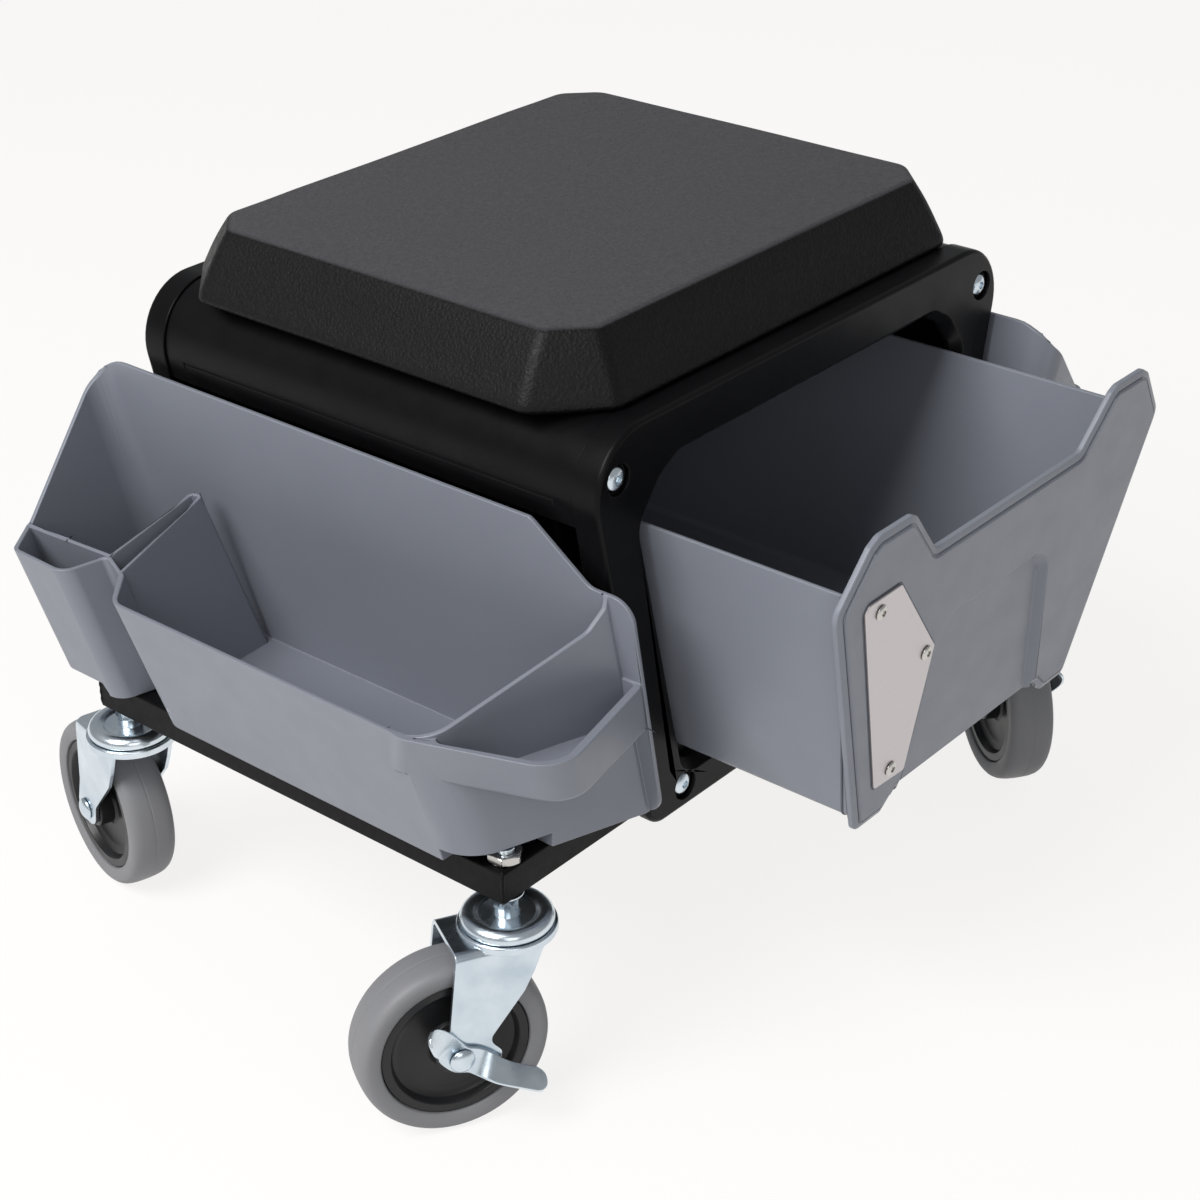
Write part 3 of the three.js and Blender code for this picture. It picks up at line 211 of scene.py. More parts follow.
def forward(shell, y):
    return changed(shell, lambda a, b, c: (a, y - c, b))


def along_z(corners, z0, z1, steps=ARC_STEPS):
    return loft([(corners, z0), (corners, z1)], steps)


def along_y(corners, y0, y1, steps=ARC_STEPS):
    return forward(loft([(corners, 0), (corners, y1 - y0)], steps), y1)


def along_x(corners, x0, x1, steps=ARC_STEPS):
    return changed(loft([(corners, x0), (corners, x1)], steps), lambda a, b, c: (c, a, b))


def block(x0, x1, y0, y1, z0, z1):
    return along_z(rectangle(x0, x1, y0, y1), z0, z1)


def turned(profile, steps=TURN_STEPS, axis="z", at=(0, 0, 0)):
    points, rings, faces = [], [], []
    for radius, height in profile:
        count = steps if radius else 1
        rings.append(range(len(points), len(points) + count))
        for step in range(count):
            angle = math.tau * step / steps
            x, y = radius * math.cos(angle), radius * math.sin(angle)
            point = (x, y, height) if axis == "z" else (x, height, -y)
            points.append(tuple(a + b for a, b in zip(point, at)))
    for i, low in enumerate(rings):
        high = rings[(i + 1) % len(rings)]
        if len(low) == len(high) == 1:
            continue
        for step in range(steps):
            after = (step + 1) % steps
            quad = [low[step % len(low)], low[after % len(low)],
                    high[after % len(high)], high[step % len(high)]]
            faces.append(tuple(dict.fromkeys(quad)))
    return points, faces


def rod(radius, low, high, axis="z", at=(0, 0, 0), steps=FINE_STEPS):
    return turned([(0, low), (radius, low), (radius, high), (0, high)], steps, axis, at)


def working_object(shell):
    mesh = bpy.data.meshes.new("work")
    mesh.from_pydata(shell[0], [], shell[1])
    shape = bmesh.new()
    shape.from_mesh(mesh)
    bmesh.ops.recalc_face_normals(shape, faces=shape.faces)
    shape.to_mesh(mesh)
    shape.free()
    work = bpy.data.objects.new("work", mesh)
    bpy.context.scene.collection.objects.link(work)
    return work


def evaluated_mesh(work):
    bpy.context.view_layer.update()
    return bpy.data.meshes.new_from_object(work.evaluated_get(bpy.context.evaluated_depsgraph_get()))


def discard(*works):
    for work in works:
        mesh = work.data
        bpy.data.objects.remove(work)
        bpy.data.meshes.remove(mesh)


def combined(whole, operation, tools):
    base = working_object(whole)
    others = [working_object(tool) for tool in tools]
    for other in others:
        modifier = base.modifiers.new("combine", "BOOLEAN")
        modifier.operation = operation
        modifier.solver = "MANIFOLD"
        modifier.object = other
    mesh = evaluated_mesh(base)
    if not mesh.polygons:
        raise RuntimeError("a solid was lost while shells were combined")
    shell = [tuple(vertex.co) for vertex in mesh.vertices], [tuple(face.vertices) for face in mesh.polygons]
    bpy.data.meshes.remove(mesh)
    discard(base, *others)
    return shell


def cut(whole, *tools):
    return combined(whole, "DIFFERENCE", tools)


def join(whole, *tools):
    return combined(whole, "UNION", tools)


def common(whole, *tools):
    return combined(whole, "INTERSECT", tools)


# Finishes. Texture coordinates are the object's own, so a length of one in them is a metre.
def shader(name):
    finish = bpy.data.materials.new(name)
    finish.use_nodes = True
    tree = finish.node_tree
    return finish, tree, tree.nodes["Principled BSDF"]


def feed(tree, node, inputs):
    for socket, value in inputs.items():
        if isinstance(value, bpy.types.NodeSocket):
            tree.links.new(value, node.inputs[socket])
        else:
            node.inputs[socket].default_value = value


def add_node(tree, kind, inputs=(), **settings):
    node = tree.nodes.new("ShaderNode" + kind)
    for setting, value in settings.items():
        setattr(node, setting, value)
    feed(tree, node, dict(inputs))
    return node


def grain(tree, scale, detail=3, roughness=0.5, stretch=(1, 1, 1)):
    place = add_node(tree, "TexCoord").outputs["Object"]
    mapped = add_node(tree, "Mapping", {"Vector": place, "Scale": stretch}).outputs["Vector"]
    values = {"Vector": mapped, "Scale": scale, "Detail": detail, "Roughness": roughness}
    return add_node(tree, "TexNoise", values).outputs["Fac"]


def spread(tree, value, low, high, start=0.3, end=0.7):
    values = {"Value": value, "From Min": start, "From Max": end, "To Min": low, "To Max": high}
    return add_node(tree, "MapRange", values).outputs["Result"]


def mixed(tree, factor, a, b):
    return add_node(tree, "Mix", {"Factor": factor, "A": a, "B": b}, data_type="RGBA").outputs["Result"]


def shade(colour, factor):
    return tuple(max(0, min(1, channel * factor)) for channel in colour)


def tinted(tree, value, colour, dark, light):
    return mixed(tree, value, (*shade(colour, dark), 1), (*shade(colour, light), 1))


def bumped(tree, height, strength, distance, under=None):
    values = {"Height": height, "Strength": strength, "Distance": distance}
    if under:
        values["Normal"] = under
    return add_node(tree, "Bump", values).outputs["Normal"]


def moulded_plastic(name, colour, roughness, texture_scale, depth, specular=0.5, cloud=0.06):
    finish, tree, surface = shader(name)
    feed(tree, surface, {
        "Base Color": tinted(tree, spread(tree, grain(tree, 14, 2), 0, 1), colour, 1 - cloud, 1 + cloud),
        "Roughness": spread(tree, grain(tree, 60, 4), roughness - 0.05, roughness + 0.05),
        "Specular IOR Level": specular,
        "Normal": bumped(tree, grain(tree, texture_scale, 3, 0.55), 0.35, depth),
    })
    return finish


def plated_steel(name, colour, roughness, sheen):
    finish, tree, surface = shader(name)
    patches = spread(tree, grain(tree, 38, 3), 0, 1)
    feed(tree, surface, {
        "Base Color": mixed(tree, patches, (*shade(colour, 0.92), 1), (*sheen, 1)),
        "Metallic": 1,
        "Roughness": spread(tree, grain(tree, 130, 4, 0.6), roughness - 0.05, roughness + 0.05),
        "Normal": bumped(tree, grain(tree, 420, 3, 0.6), 0.22, 0.00012),
    })
    return finish


def brushed_steel(name, colour, roughness):
    finish, tree, surface = shader(name)
    lines = grain(tree, 900, 2, 0.6, (0.06, 1, 1))
    feed(tree, surface, {
        "Base Color": tinted(tree, spread(tree, lines, 0, 1), colour, 0.97, 1.02),
        "Metallic": 0.75,
        "Roughness": spread(tree, lines, roughness - 0.03, roughness + 0.04),
        "Normal": bumped(tree, lines, 0.12, 0.00003),
    })
    return finish


def painted_steel(name, colour, roughness):
    finish, tree, surface = shader(name)
    feed(tree, surface, {
        "Base Color": tinted(tree, spread(tree, grain(tree, 90, 3), 0, 1), colour, 0.85, 1.15),
        "Roughness": spread(tree, grain(tree, 200, 3), roughness - 0.06, roughness + 0.06),
        "Specular IOR Level": 0.12,
        "Normal": bumped(tree, grain(tree, 900, 2, 0.5), 0.5, 0.00012),
    })
    return finish


def seat_leather(name, colour, roughness, depth):
    finish, tree, surface = shader(name)
    normal = add_node(tree, "NewGeometry").outputs["Normal"]
    upward = add_node(tree, "SeparateXYZ", {"Vector": normal}).outputs["Z"]
    place = add_node(tree, "TexCoord").outputs["Object"]
    cells = {"Vector": place, "Scale": 620, "Randomness": 1}
    pebbles = add_node(tree, "TexVoronoi", cells, feature="F1").outputs["Distance"]
    wrinkles = grain(tree, 520, 4, 0.65)
    relief = add_node(tree, "Mix", {"Factor": 0.55, "A": pebbles, "B": wrinkles}).outputs["Result"]
    mottled = spread(tree, wrinkles, 0, 1, 0.35, 0.65)
    # Painted light: the sides get a painted shade far darker than the skin's colour, and the top gets a
    # painted sheen lighter than it. The two are mixed by how far a face points up.
    painted_shade_side_tone = tinted(tree, mottled, colour, 0.02, 0.07)
    painted_sheen_top_tone = tinted(tree, mottled, colour, 0.86, 1.16)
    feed(tree, surface, {
        "Base Color": mixed(tree, spread(tree, upward, 0, 1, 0.78, 0.97), painted_shade_side_tone, painted_sheen_top_tone),
        "Roughness": spread(tree, grain(tree, 300, 4), roughness - 0.07, roughness + 0.07),
        "Specular IOR Level": 0.2,
        "Normal": bumped(tree, grain(tree, 30, 3), 0.25, depth * 2.4, bumped(tree, relief, 0.8, depth)),
    })
    return finish


def laminated_board(name, colour):
    finish, tree, surface = shader(name)
    layers = grain(tree, 80, 4, 0.6, (0.2, 1, 12))
    feed(tree, surface, {
        "Base Color": tinted(tree, spread(tree, layers, 0, 1), colour, 0.7, 1.2),
        "Roughness": 0.8,
        "Normal": bumped(tree, layers, 0.4, 0.0002),
    })
    return finish


FINISHES = {}


# Every piece is drawn in millimetres and comes into the frame here, with its edges rounded. An edge is the
# rounding's width, a limit the least angle of an edge that is rounded, and faces whose angle is under flatten
# are joined. Splits are places along x where long faces are divided.
def moved(shell, matrix):
    return [tuple(matrix @ Vector(point)) for point in shell[0]], shell[1]


HALF_TURN = Matrix.Rotation(math.pi, 4, "Z")


def add_piece(name, shell, body, finish, nodes=(), edge=0.0, segments=2, limit=28, flatten=0.4, plain=False,
              splits=()):
    mesh = bpy.data.meshes.new(name)
    mesh.from_pydata([(x * MM, y * MM + HOME_Y, z * MM) for x, y, z in shell[0]], [], shell[1])
    shape = bmesh.new()
    shape.from_mesh(mesh)
    if not plain:
        bmesh.ops.remove_doubles(shape, verts=shape.verts, dist=SAME_PLACE)
        bmesh.ops.dissolve_degenerate(shape, edges=shape.edges, dist=SAME_PLACE)
        if flatten:
            bmesh.ops.dissolve_limit(shape, angle_limit=math.radians(flatten), verts=shape.verts,
                                     edges=shape.edges)
        for x in splits:
            bmesh.ops.bisect_plane(shape, geom=[*shape.verts, *shape.edges, *shape.faces],
                                   plane_co=(x * MM, 0, 0), plane_no=(1, 0, 0))
    bmesh.ops.recalc_face_normals(shape, faces=shape.faces)
    shape.to_mesh(mesh)
    shape.free()
    mesh.shade_smooth()
    piece = bpy.data.objects.new(name, mesh)
    bpy.context.scene.collection.objects.link(piece)
    if edge:
        bevel = piece.modifiers.new("edge", "BEVEL")
        bevel.width = edge * MM
        bevel.segments = segments
        bevel.limit_method = "ANGLE"
        bevel.angle_limit = math.radians(limit)
        bevel.use_clamp_overlap = False
    if not plain:
        piece.modifiers.new("normals", "WEIGHTED_NORMAL").keep_sharp = True
    final = evaluated_mesh(piece)
    piece.modifiers.clear()
    piece.data = final
    bpy.data.meshes.remove(mesh)
    final.name = name
    final.materials.clear()
    final.materials.append(FINISHES[finish])
    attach(piece, body)
    if nodes:
        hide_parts(*nodes)
    return piece


def keep_node(node, finish):
    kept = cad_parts[node]
    if not kept.data.materials:
        kept.data.materials.append(FINISHES[finish])
    for slot in kept.material_slots:
        slot.material = FINISHES[finish]


# Seat pad: an eight-sided moulding with sloping sides that pull in and a crowned top
SEAT_LENGTH = 340.61
SEAT_WIDTH = 285.6
SEAT_BEVEL = (16.8, 14.5)
BOARD_HALF = (150.605, 123.1)
BOARD_THICKNESS = 8.3
SEAT_PROFILE = [(0.19, 0), (0, 0.1), (0.3, 0.38), (0.64, 0.64), (1, 0.873), (1.18, 0.962), (1.4, 1)]
SIDE_SHARES = [-0.84, -0.64, -0.44, -0.22, 0, 0.22, 0.44, 0.64, 0.84]
CROWN_SHARES = [0.985, 0.96, 0.93, 0.89, 0.84, 0.78, 0.7, 0.6, 0.5, 0.4, 0.3, 0.2, 0.1]


def smooth_profile(points, steps):
    dense = []
    padded_points = [points[0], *points, points[-1]]
    for i in range(1, len(padded_points) - 2):
        a, b, c, d = (Vector(point) for point in padded_points[i - 1:i + 3])
        for step in range(steps):
            t = step / steps
            dense.append(tuple(0.5 * (2 * b + (c - a) * t + (2 * a - 5 * b + 4 * c - d) * t * t
                                      + (3 * b - a - 3 * c + d) * t ** 3)))
    return [*dense, points[-1]]


def seat_outline(bevel_share, pull, scale=1):
    bevel_x, bevel_y = SEAT_BEVEL
    half_x = (SEAT_LENGTH / 2 - bevel_x * bevel_share) * scale
    half_y = (SEAT_WIDTH / 2 - bevel_y * bevel_share) * scale
    corner = (32 - 11 * bevel_share) * scale
    radius = 10 * scale

    def side(length):
        return [(share * (length - corner), pull * (1 - share * share)) for share in SIDE_SHARES]

    half = [
        (half_x, -half_y + corner, radius),
        *[(half_x - inwards, along) for along, inwards in side(half_y)],
        (half_x, half_y - corner, radius),
        (half_x - corner, half_y, radius),
        *[(-along, half_y - inwards) for along, inwards in side(half_x)],
        (-half_x + corner, half_y, radius),
    ]
    return [*half, *[(-x, -y, *rest) for x, y, *rest in half]]


def seat_shell(height, crown, draw_in):
    levels = [(seat_outline(bevel, draw_in * math.sin(math.pi * max(0, min(1, rise)))),
               SEAT_BOTTOM + height * rise) for bevel, rise in smooth_profile(SEAT_PROFILE, 6)]
    top = SEAT_BOTTOM + height
    levels += [(seat_outline(1.4, 0, share), top + crown * (1 - share * share)) for share in CROWN_SHARES]
    points, faces = loft(levels, 7)
    count = len(faces[-1])
    points.append((0, 0, top + crown))
    start = len(points) - 1 - count
    faces[-1:] = [(start + i, start + (i + 1) % count, len(points) - 1) for i in range(count)]
    softened = []
    for x, y, z in points:
        if z > SEAT_BOTTOM + 1:
            place = Vector((x, y, z))
            lift = 0.45 * noise.noise(place * 0.018) + 0.12 * noise.noise(place * 0.07)
            outwards = Vector((x / SEAT_LENGTH, y / SEAT_WIDTH, 0.35 if z > top - 1 else 0)).normalized()
            x, y, z = place + outwards * lift
        softened.append((x, y, z))
    half_x, half_y = BOARD_HALF
    recess = along_z(rectangle(-half_x, half_x, -half_y, half_y, 24), SEAT_BOTTOM - OVER,
                     SEAT_BOTTOM + BOARD_THICKNESS)
    return cut((softened, faces), recess)


# Base frame of welded rectangular tube, with a bead at each mitre
TUBE_WIDTH = 25
TUBE_WALL = 1.7


def frame_shell():
    half_x, half_y = FRAME_LENGTH / 2, FRAME_WIDTH / 2

    def ring(wall):
        outer = rectangle(-half_x + wall, half_x - wall, -half_y + wall, half_y - wall)
        inner = rectangle(-half_x + TUBE_WIDTH - wall, half_x - TUBE_WIDTH + wall,
                          -half_y + TUBE_WIDTH - wall, half_y - TUBE_WIDTH + wall)
        low, high = FRAME_BOTTOM + wall, FRAME_TOP - wall
        return cut(along_z(outer, low, high), along_z(inner, low - OVER, high + OVER))

    bores = [rod(STEM_BORE, FRAME_BOTTOM - OVER, FRAME_TOP + OVER, at=(x, y, 0))
             for x in (-STEM_X, STEM_X) for y in (-STEM_Y, STEM_Y)]
    screw_x, screw_z = LOWER_SCREW
    holes = [rod(SCREW_BORE, y - 14, y + 14, "y", (x, 0, screw_z))
             for x in (-screw_x, screw_x) for y in (-half_y, half_y)]
    return cut(ring(0), ring(TUBE_WALL), *bores, *holes)


def bead(path, radius, seed, steps=10):
    rings = []
    for i, point in enumerate(path):
        ahead = (Vector(path[min(i + 1, len(path) - 1)]) - Vector(path[max(i - 1, 0)])).normalized()
        side = ahead.orthogonal().normalized()
        other = ahead.cross(side)
        ripple = 1 + 0.16 * math.sin(i * 1.9 + seed) + 0.1 * noise.noise(Vector((i * 0.7, seed, 0)))
        swell = radius * ripple * (0.45 if i in (0, len(path) - 1) else 1)
        rings.append([tuple(Vector(point) + (side * math.cos(a) + other * math.sin(a)) * swell)
                      for a in (math.tau * step / steps for step in range(steps))])
    return rings_to_shell(rings)


def together(*shells):
    points, faces = [], []
    for more_points, more_faces in shells:
        start = len(points)
        points += more_points
        faces += [tuple(start + i for i in face) for face in more_faces]
    return points, faces


def weld_shell():
    beads = []
    for i, (side_x, side_y) in enumerate(((-1, -1), (1, -1), (1, 1), (-1, 1))):
        x, y = side_x * (FRAME_LENGTH / 2 - 0.7), side_y * (FRAME_WIDTH / 2 - 0.7)
        upright = [(x, y, FRAME_BOTTOM + 1 + step * (FRAME_TOP - FRAME_BOTTOM - 1.6) / 12)
                   for step in range(13)]
        run = [(x - side_x * step * 0.55, y - side_y * step * 0.55, FRAME_TOP - 0.5) for step in range(9)]
        beads += [bead(upright, 1.05, i), bead(run, 1.35, i + 9)]
    return together(*beads)


# Front and rear panels with a rounded face and a bevelled drawer opening
PANEL_THICKNESS = 8.7
SCREW_SINK = 3.5


def opening_outline():
    low, high = 148.1, 325.8
    across, drop = 27.9, 26.5
    side = opening_half(high - drop)
    top = side - across
    half = [(opening_half(low), low, 10), (side, high - drop, 12),
            (top + across * 0.48, high - drop * 0.29, 12), (top, high, 12)]
    return [*mirrored(half[:1]), *half, *mirrored(half[1:])]


def filleted(outline, face, radius, steps=5):
    levels = [(outline, 0)]
    for step in range(steps + 1):
        angle = math.pi / 2 * step / steps
        levels.append((inset(outline, radius * (1 - math.cos(angle))),
                       face - radius + radius * math.sin(angle)))
    return levels


def panel_shell(fillet):
    outline = tapering(body_half, PANEL_BOTTOM, PANEL_TOP, 0, 14, 33)
    opening = opening_outline()
    plate = forward(loft(filleted(outline, PANEL_THICKNESS, fillet), BROAD_ARC_STEPS), -PANEL_BACK)
    rim = cut(
        along_y(outline, -PANEL_BACK - GAP, -PANEL_FACE + 16, BROAD_ARC_STEPS),
        along_y(inset(outline, 3), -PANEL_FACE - OVER, -PANEL_FACE + 18, BROAD_ARC_STEPS),
        block(-FAR, FAR, -PANEL_BACK, FRAME_WIDTH, 0, FRAME_TOP + GAP),
    )
    bevel = forward(loft([(opening, 2.7), (inset(opening, -5.5), PANEL_THICKNESS + GAP)]), -PANEL_BACK)
    through = along_y(opening, -PANEL_FACE - OVER, -PANEL_BACK + OVER)
    holes = []
    for x, z in (UPPER_SCREW, LOWER_SCREW):
        for at in ((x, 0, z), (-x, 0, z)):
            holes += [rod(SCREW_BORE, -PANEL_FACE - OVER, -PANEL_BACK + OVER, "y", at),
                      rod(8, -PANEL_FACE - OVER, -PANEL_FACE + SCREW_SINK, "y", at)]
    return cut(join(plate, rim), bevel, through, *holes)


# Cover: an arched shell between the panels with a fine line along its sides
COVER_WALL = 3
COVER_CORNER = 32


def cover_shell():
    def half(z):
        return body_half(z) - 1.5

    def arch(low, high, wall, end):
        outline = tapering(half, low, high, wall, 0, COVER_CORNER - wall)
        return along_y(outline, -end, end, BROAD_ARC_STEPS)

    solid = arch(COVER_BOTTOM, COVER_TOP, 0, COVER_END)
    shell = cut(solid, arch(COVER_BOTTOM - OVER, COVER_TOP - COVER_WALL, COVER_WALL, COVER_END + OVER))
    screw_x, screw_z = UPPER_SCREW
    bosses = []
    for side_x in (-1, 1):
        for side_y in (-1, 1):
            x = side_x * screw_x
            ends = sorted((side_y * COVER_END, side_y * (COVER_END - 15)))
            reach = sorted((x, side_x * half(screw_z)))
            tube = join(rod(6.5, *ends, "y", (x, 0, screw_z)),
                        block(*reach, *ends, screw_z - 1.5, screw_z + 1.5))
            bore = rod(SCREW_BORE, ends[0] - OVER, ends[1] + OVER, "y", (x, 0, screw_z))
            bosses.append(common(cut(tube, bore), solid))
    bolt_x, bolt_y = SEAT_BOLT
    bolts = [rod(SCREW_BORE, COVER_TOP - 5, COVER_TOP + OVER, at=(x, y, 0))
             for x in (-bolt_x, bolt_x) for y in (-bolt_y, bolt_y)]
    line, depth, end = 317, 0.8, 127
    groove = cut(block(-FAR, FAR, -end, end, line - 0.4, line + 0.4),
                 block(-half(line) + depth, half(line) - depth, -end - OVER, end + OVER, line - 1, line + 1))
    steps = [block(*sorted((side * (half(line) - depth), side * FAR)),
                   *sorted((y * end, y * (end + 1.2))), COVER_BOTTOM - 1, line + 0.4)
             for side in (-1, 1) for y in (-1, 1)]
    return cut(join(shell, *bosses), *bolts, groove, *steps)


# Drawer: drawn upright, then leaned forward with height. Shares are parts of the front's half width and of
# its height.
FRONT_SHARES = [
    (0.455, 0.051, 2), (0.521, 0, 3), (0.678, 0, 6), (0.99, 0.786, 10), (1, 0.82, 10), (0.863, 0.977, 5),
    (0.815, 1, 7), (0.637, 1, 6), (0.603, 0.986, 6), (0.452, 0.839, 5),
]
BADGE_SHARES = [
    (-0.863, 0.786), (-0.623, 0.13), (-0.445, 0.121), (-0.384, 0.515), (-0.664, 0.808), (-0.842, 0.806),
]
BADGE_SCREW_SHARES = [(-0.774, 0.763), (-0.438, 0.51), (-0.544, 0.169)]
BIN_WALL = 2.5
BIN_HEIGHT = 142.6


def on_front(share_x, share_z, radius=0):
    return share_x * 146, FRONT_BOTTOM + share_z * 177.5, radius


def leaned(shell):
    return changed(shell, lambda x, y, z: (x, y - FRONT_LEAN * (z - FRONT_BOTTOM), z))


def front_loft(levels, steps=ARC_STEPS):
    return leaned(forward(loft(levels, steps), FRONT_Y))


def pull_recess(low, wider):
    return inset([(-62, low, 0), (62, low, 0), (47, BIN_BOTTOM + 82, 9), (40, BIN_BOTTOM + 91, 9),
                  (-40, BIN_BOTTOM + 91, 9), (-47, BIN_BOTTOM + 82, 9)], -wider)


def badge_screw_bores(radius, behind, before):
    return [rod(radius, face_y(z) - before, face_y(z) + behind, "y", (x, 0, z))
            for x, z, _ in (on_front(*share) for share in BADGE_SCREW_SHARES)]


def drawer_shell():
    top = BIN_BOTTOM + BIN_HEIGHT
    far = face_y(top) - OVER
    inside = BIN_BOTTOM + BIN_WALL
    outer = along_y(tapering(bin_half, BIN_BOTTOM, top, 0, 7), far, DRAWER_BACK)
    inner = along_y(tapering(bin_half, inside, top + OVER, BIN_WALL, 4.5), far - OVER, DRAWER_BACK - BIN_WALL)
    wide = rectangle(-FAR, FAR, 0, PANEL_TOP + FAR)
    ahead = front_loft([(wide, -BIN_WALL), (wide, FAR)])
    right = [on_front(*share) for share in FRONT_SHARES]
    outline = [*right, *mirrored(right)]
    plate = front_loft([(outline, -5), (outline, -1.9), (inset(outline, 3.9), -0.9),
                        (inset(outline, 4.3), -1.3), (inset(outline, 4.9), -1.1),
                        (inset(outline, 5.2), 0)], 6)
    hollow = front_loft([(pull_recess(FRONT_BOTTOM - OVER, wider), depth)
                         for wider, depth in ((0, -4.5), (0.5, -4.1), (4, -0.5), (4.9, GAP))], 8)
    pan_outline = pull_recess(inside, 2.5)
    pan = front_loft([(pan_outline, -7), (pan_outline, -2.25)], 8)
    badge_outline = inset([on_front(*share, 2.5) for share in BADGE_SHARES], -0.8)
    badge_seat = front_loft([(badge_outline, -0.5), (badge_outline, 2)], 6)
    skin = cut(outer, along_y(tapering(bin_half, BIN_BOTTOM + 0.2, top + OVER, 0.2, 7), far - OVER,
                              DRAWER_BACK + OVER))
    seam = common(skin, front_loft([(wide, -8.7), (wide, -8)]))
    return cut(join(cut(outer, inner, ahead), plate, pan), hollow, badge_seat, seam,
               *badge_screw_bores(2.1, 4.3, 5))


def badge_shell(thickness):
    outline = [on_front(*share, 2) for share in BADGE_SHARES]
    face = GAP + thickness
    plate = front_loft([(outline, -0.2), (outline, face - 0.5), (inset(outline, 0.2), face - 0.15),
                        (inset(outline, 0.5), face)], 6)
    return cut(plate, *badge_screw_bores(1.8, 5, 5))


# Tray on the left; its corners are shares of depth and length at the rim and at the floor
TRAY_SHARES = [
    (0, 1, 0, 1), (0.765, 0.975, 0.782, 0.977), (0.977, 0.927, 1, 0.934), (0.986, 0.811, 1, 0.823),
    (0.747, 0.797, 0.762, 0.806), (0.82, 0.744, 0.823, 0.754), (1, 0.704, 0.99, 0.709),
    (1, 0.097, 0.998, 0.094), (0, 0, 0, 0),
]
TRAY_RADII = [16, 4, 8, 10, 3, 6, 12, 25, 4]
WEDGE_SHARES = [
    (0.82, 0.744, 0.823, 0.754), (0.111, 0.783, 0.064, 0.768), (0.13, 0.806, 0.064, 0.791),
    (0.747, 0.797, 0.762, 0.806),
]
WEDGE_RADII = [0, 3.4, 3.4, 0]
PARTITION_SHARES = [(0.765, 0.985, 0.782, 0.985), (0.73, 0.795, 0.752, 0.8)]
POCKET_SHARES = [
    (0.985, 0.19, 0.905, 0.21), (1.013, 0.128, 0.938, 0.158), (0.771, -0.085, 0.669, -0.073),
    (0.012, -0.028, -0.033, -0.027), (0.012, 0.045, -0.033, 0.045), (0.915, 0.17, 0.83, 0.2),
]
POCKET_RADII = [0, 14, 20, 6, 0, 0]
HOLLOW_SHARES = [
    (0.935, 0.086, 0.845, 0.095), (0.745, -0.069, 0.655, -0.058), (0.035, -0.018, 0.005, -0.015),
    (0.035, 0.06, 0.005, 0.05), (0.8, 0.14, 0.72, 0.14),
]
HOLLOW_RADII = [5, 15, 3, 0, 0]
RIM_DEPTH = 108.6
RIM_START = -166
RIM_LENGTH = 355
FLOOR_DEPTH = 98.8
FLOOR_START = -170
FLOOR_LENGTH = 350
RIM_HEIGHT = 82.9
STEP_HEIGHT = 86.9
FLANGE_HEIGHT = 130.4
BACK_HEIGHT = 159.9
POCKET_DEPTH = 27.5
RIM_BACK = 159.9
FLOOR_BACK = 144.7
TRAY_RIM = TRAY_BOTTOM + RIM_HEIGHT
TRAY_TOP = TRAY_BOTTOM + BACK_HEIGHT


def between(a, b, t):
    return a + (b - a) * t


def rim_x(share):
    return -RIM_BACK - RIM_DEPTH * share


def rim_y(share):
    return RIM_START + RIM_LENGTH * share


# Both give a function from a height over the tray's floor to the outline there.
def tray_corners(shares, radii):
    def at(height):
        t = height / RIM_HEIGHT
        return [(between(-FLOOR_BACK - FLOOR_DEPTH * fx, rim_x(rx), t),
                 between(FLOOR_START + FLOOR_LENGTH * fy, rim_y(ry), t), radius)
                for (rx, ry, fx, fy), radius in zip(shares, radii)]
    return at


def pocket_corners(shares, radii):
    def at(height):
        t = (height - RIM_HEIGHT + POCKET_DEPTH) / POCKET_DEPTH
        return [(rim_x(between(lx, rx, t)), rim_y(between(ly, ry, t)), radius)
                for (rx, ry, lx, ly), radius in zip(shares, radii)]
    return at


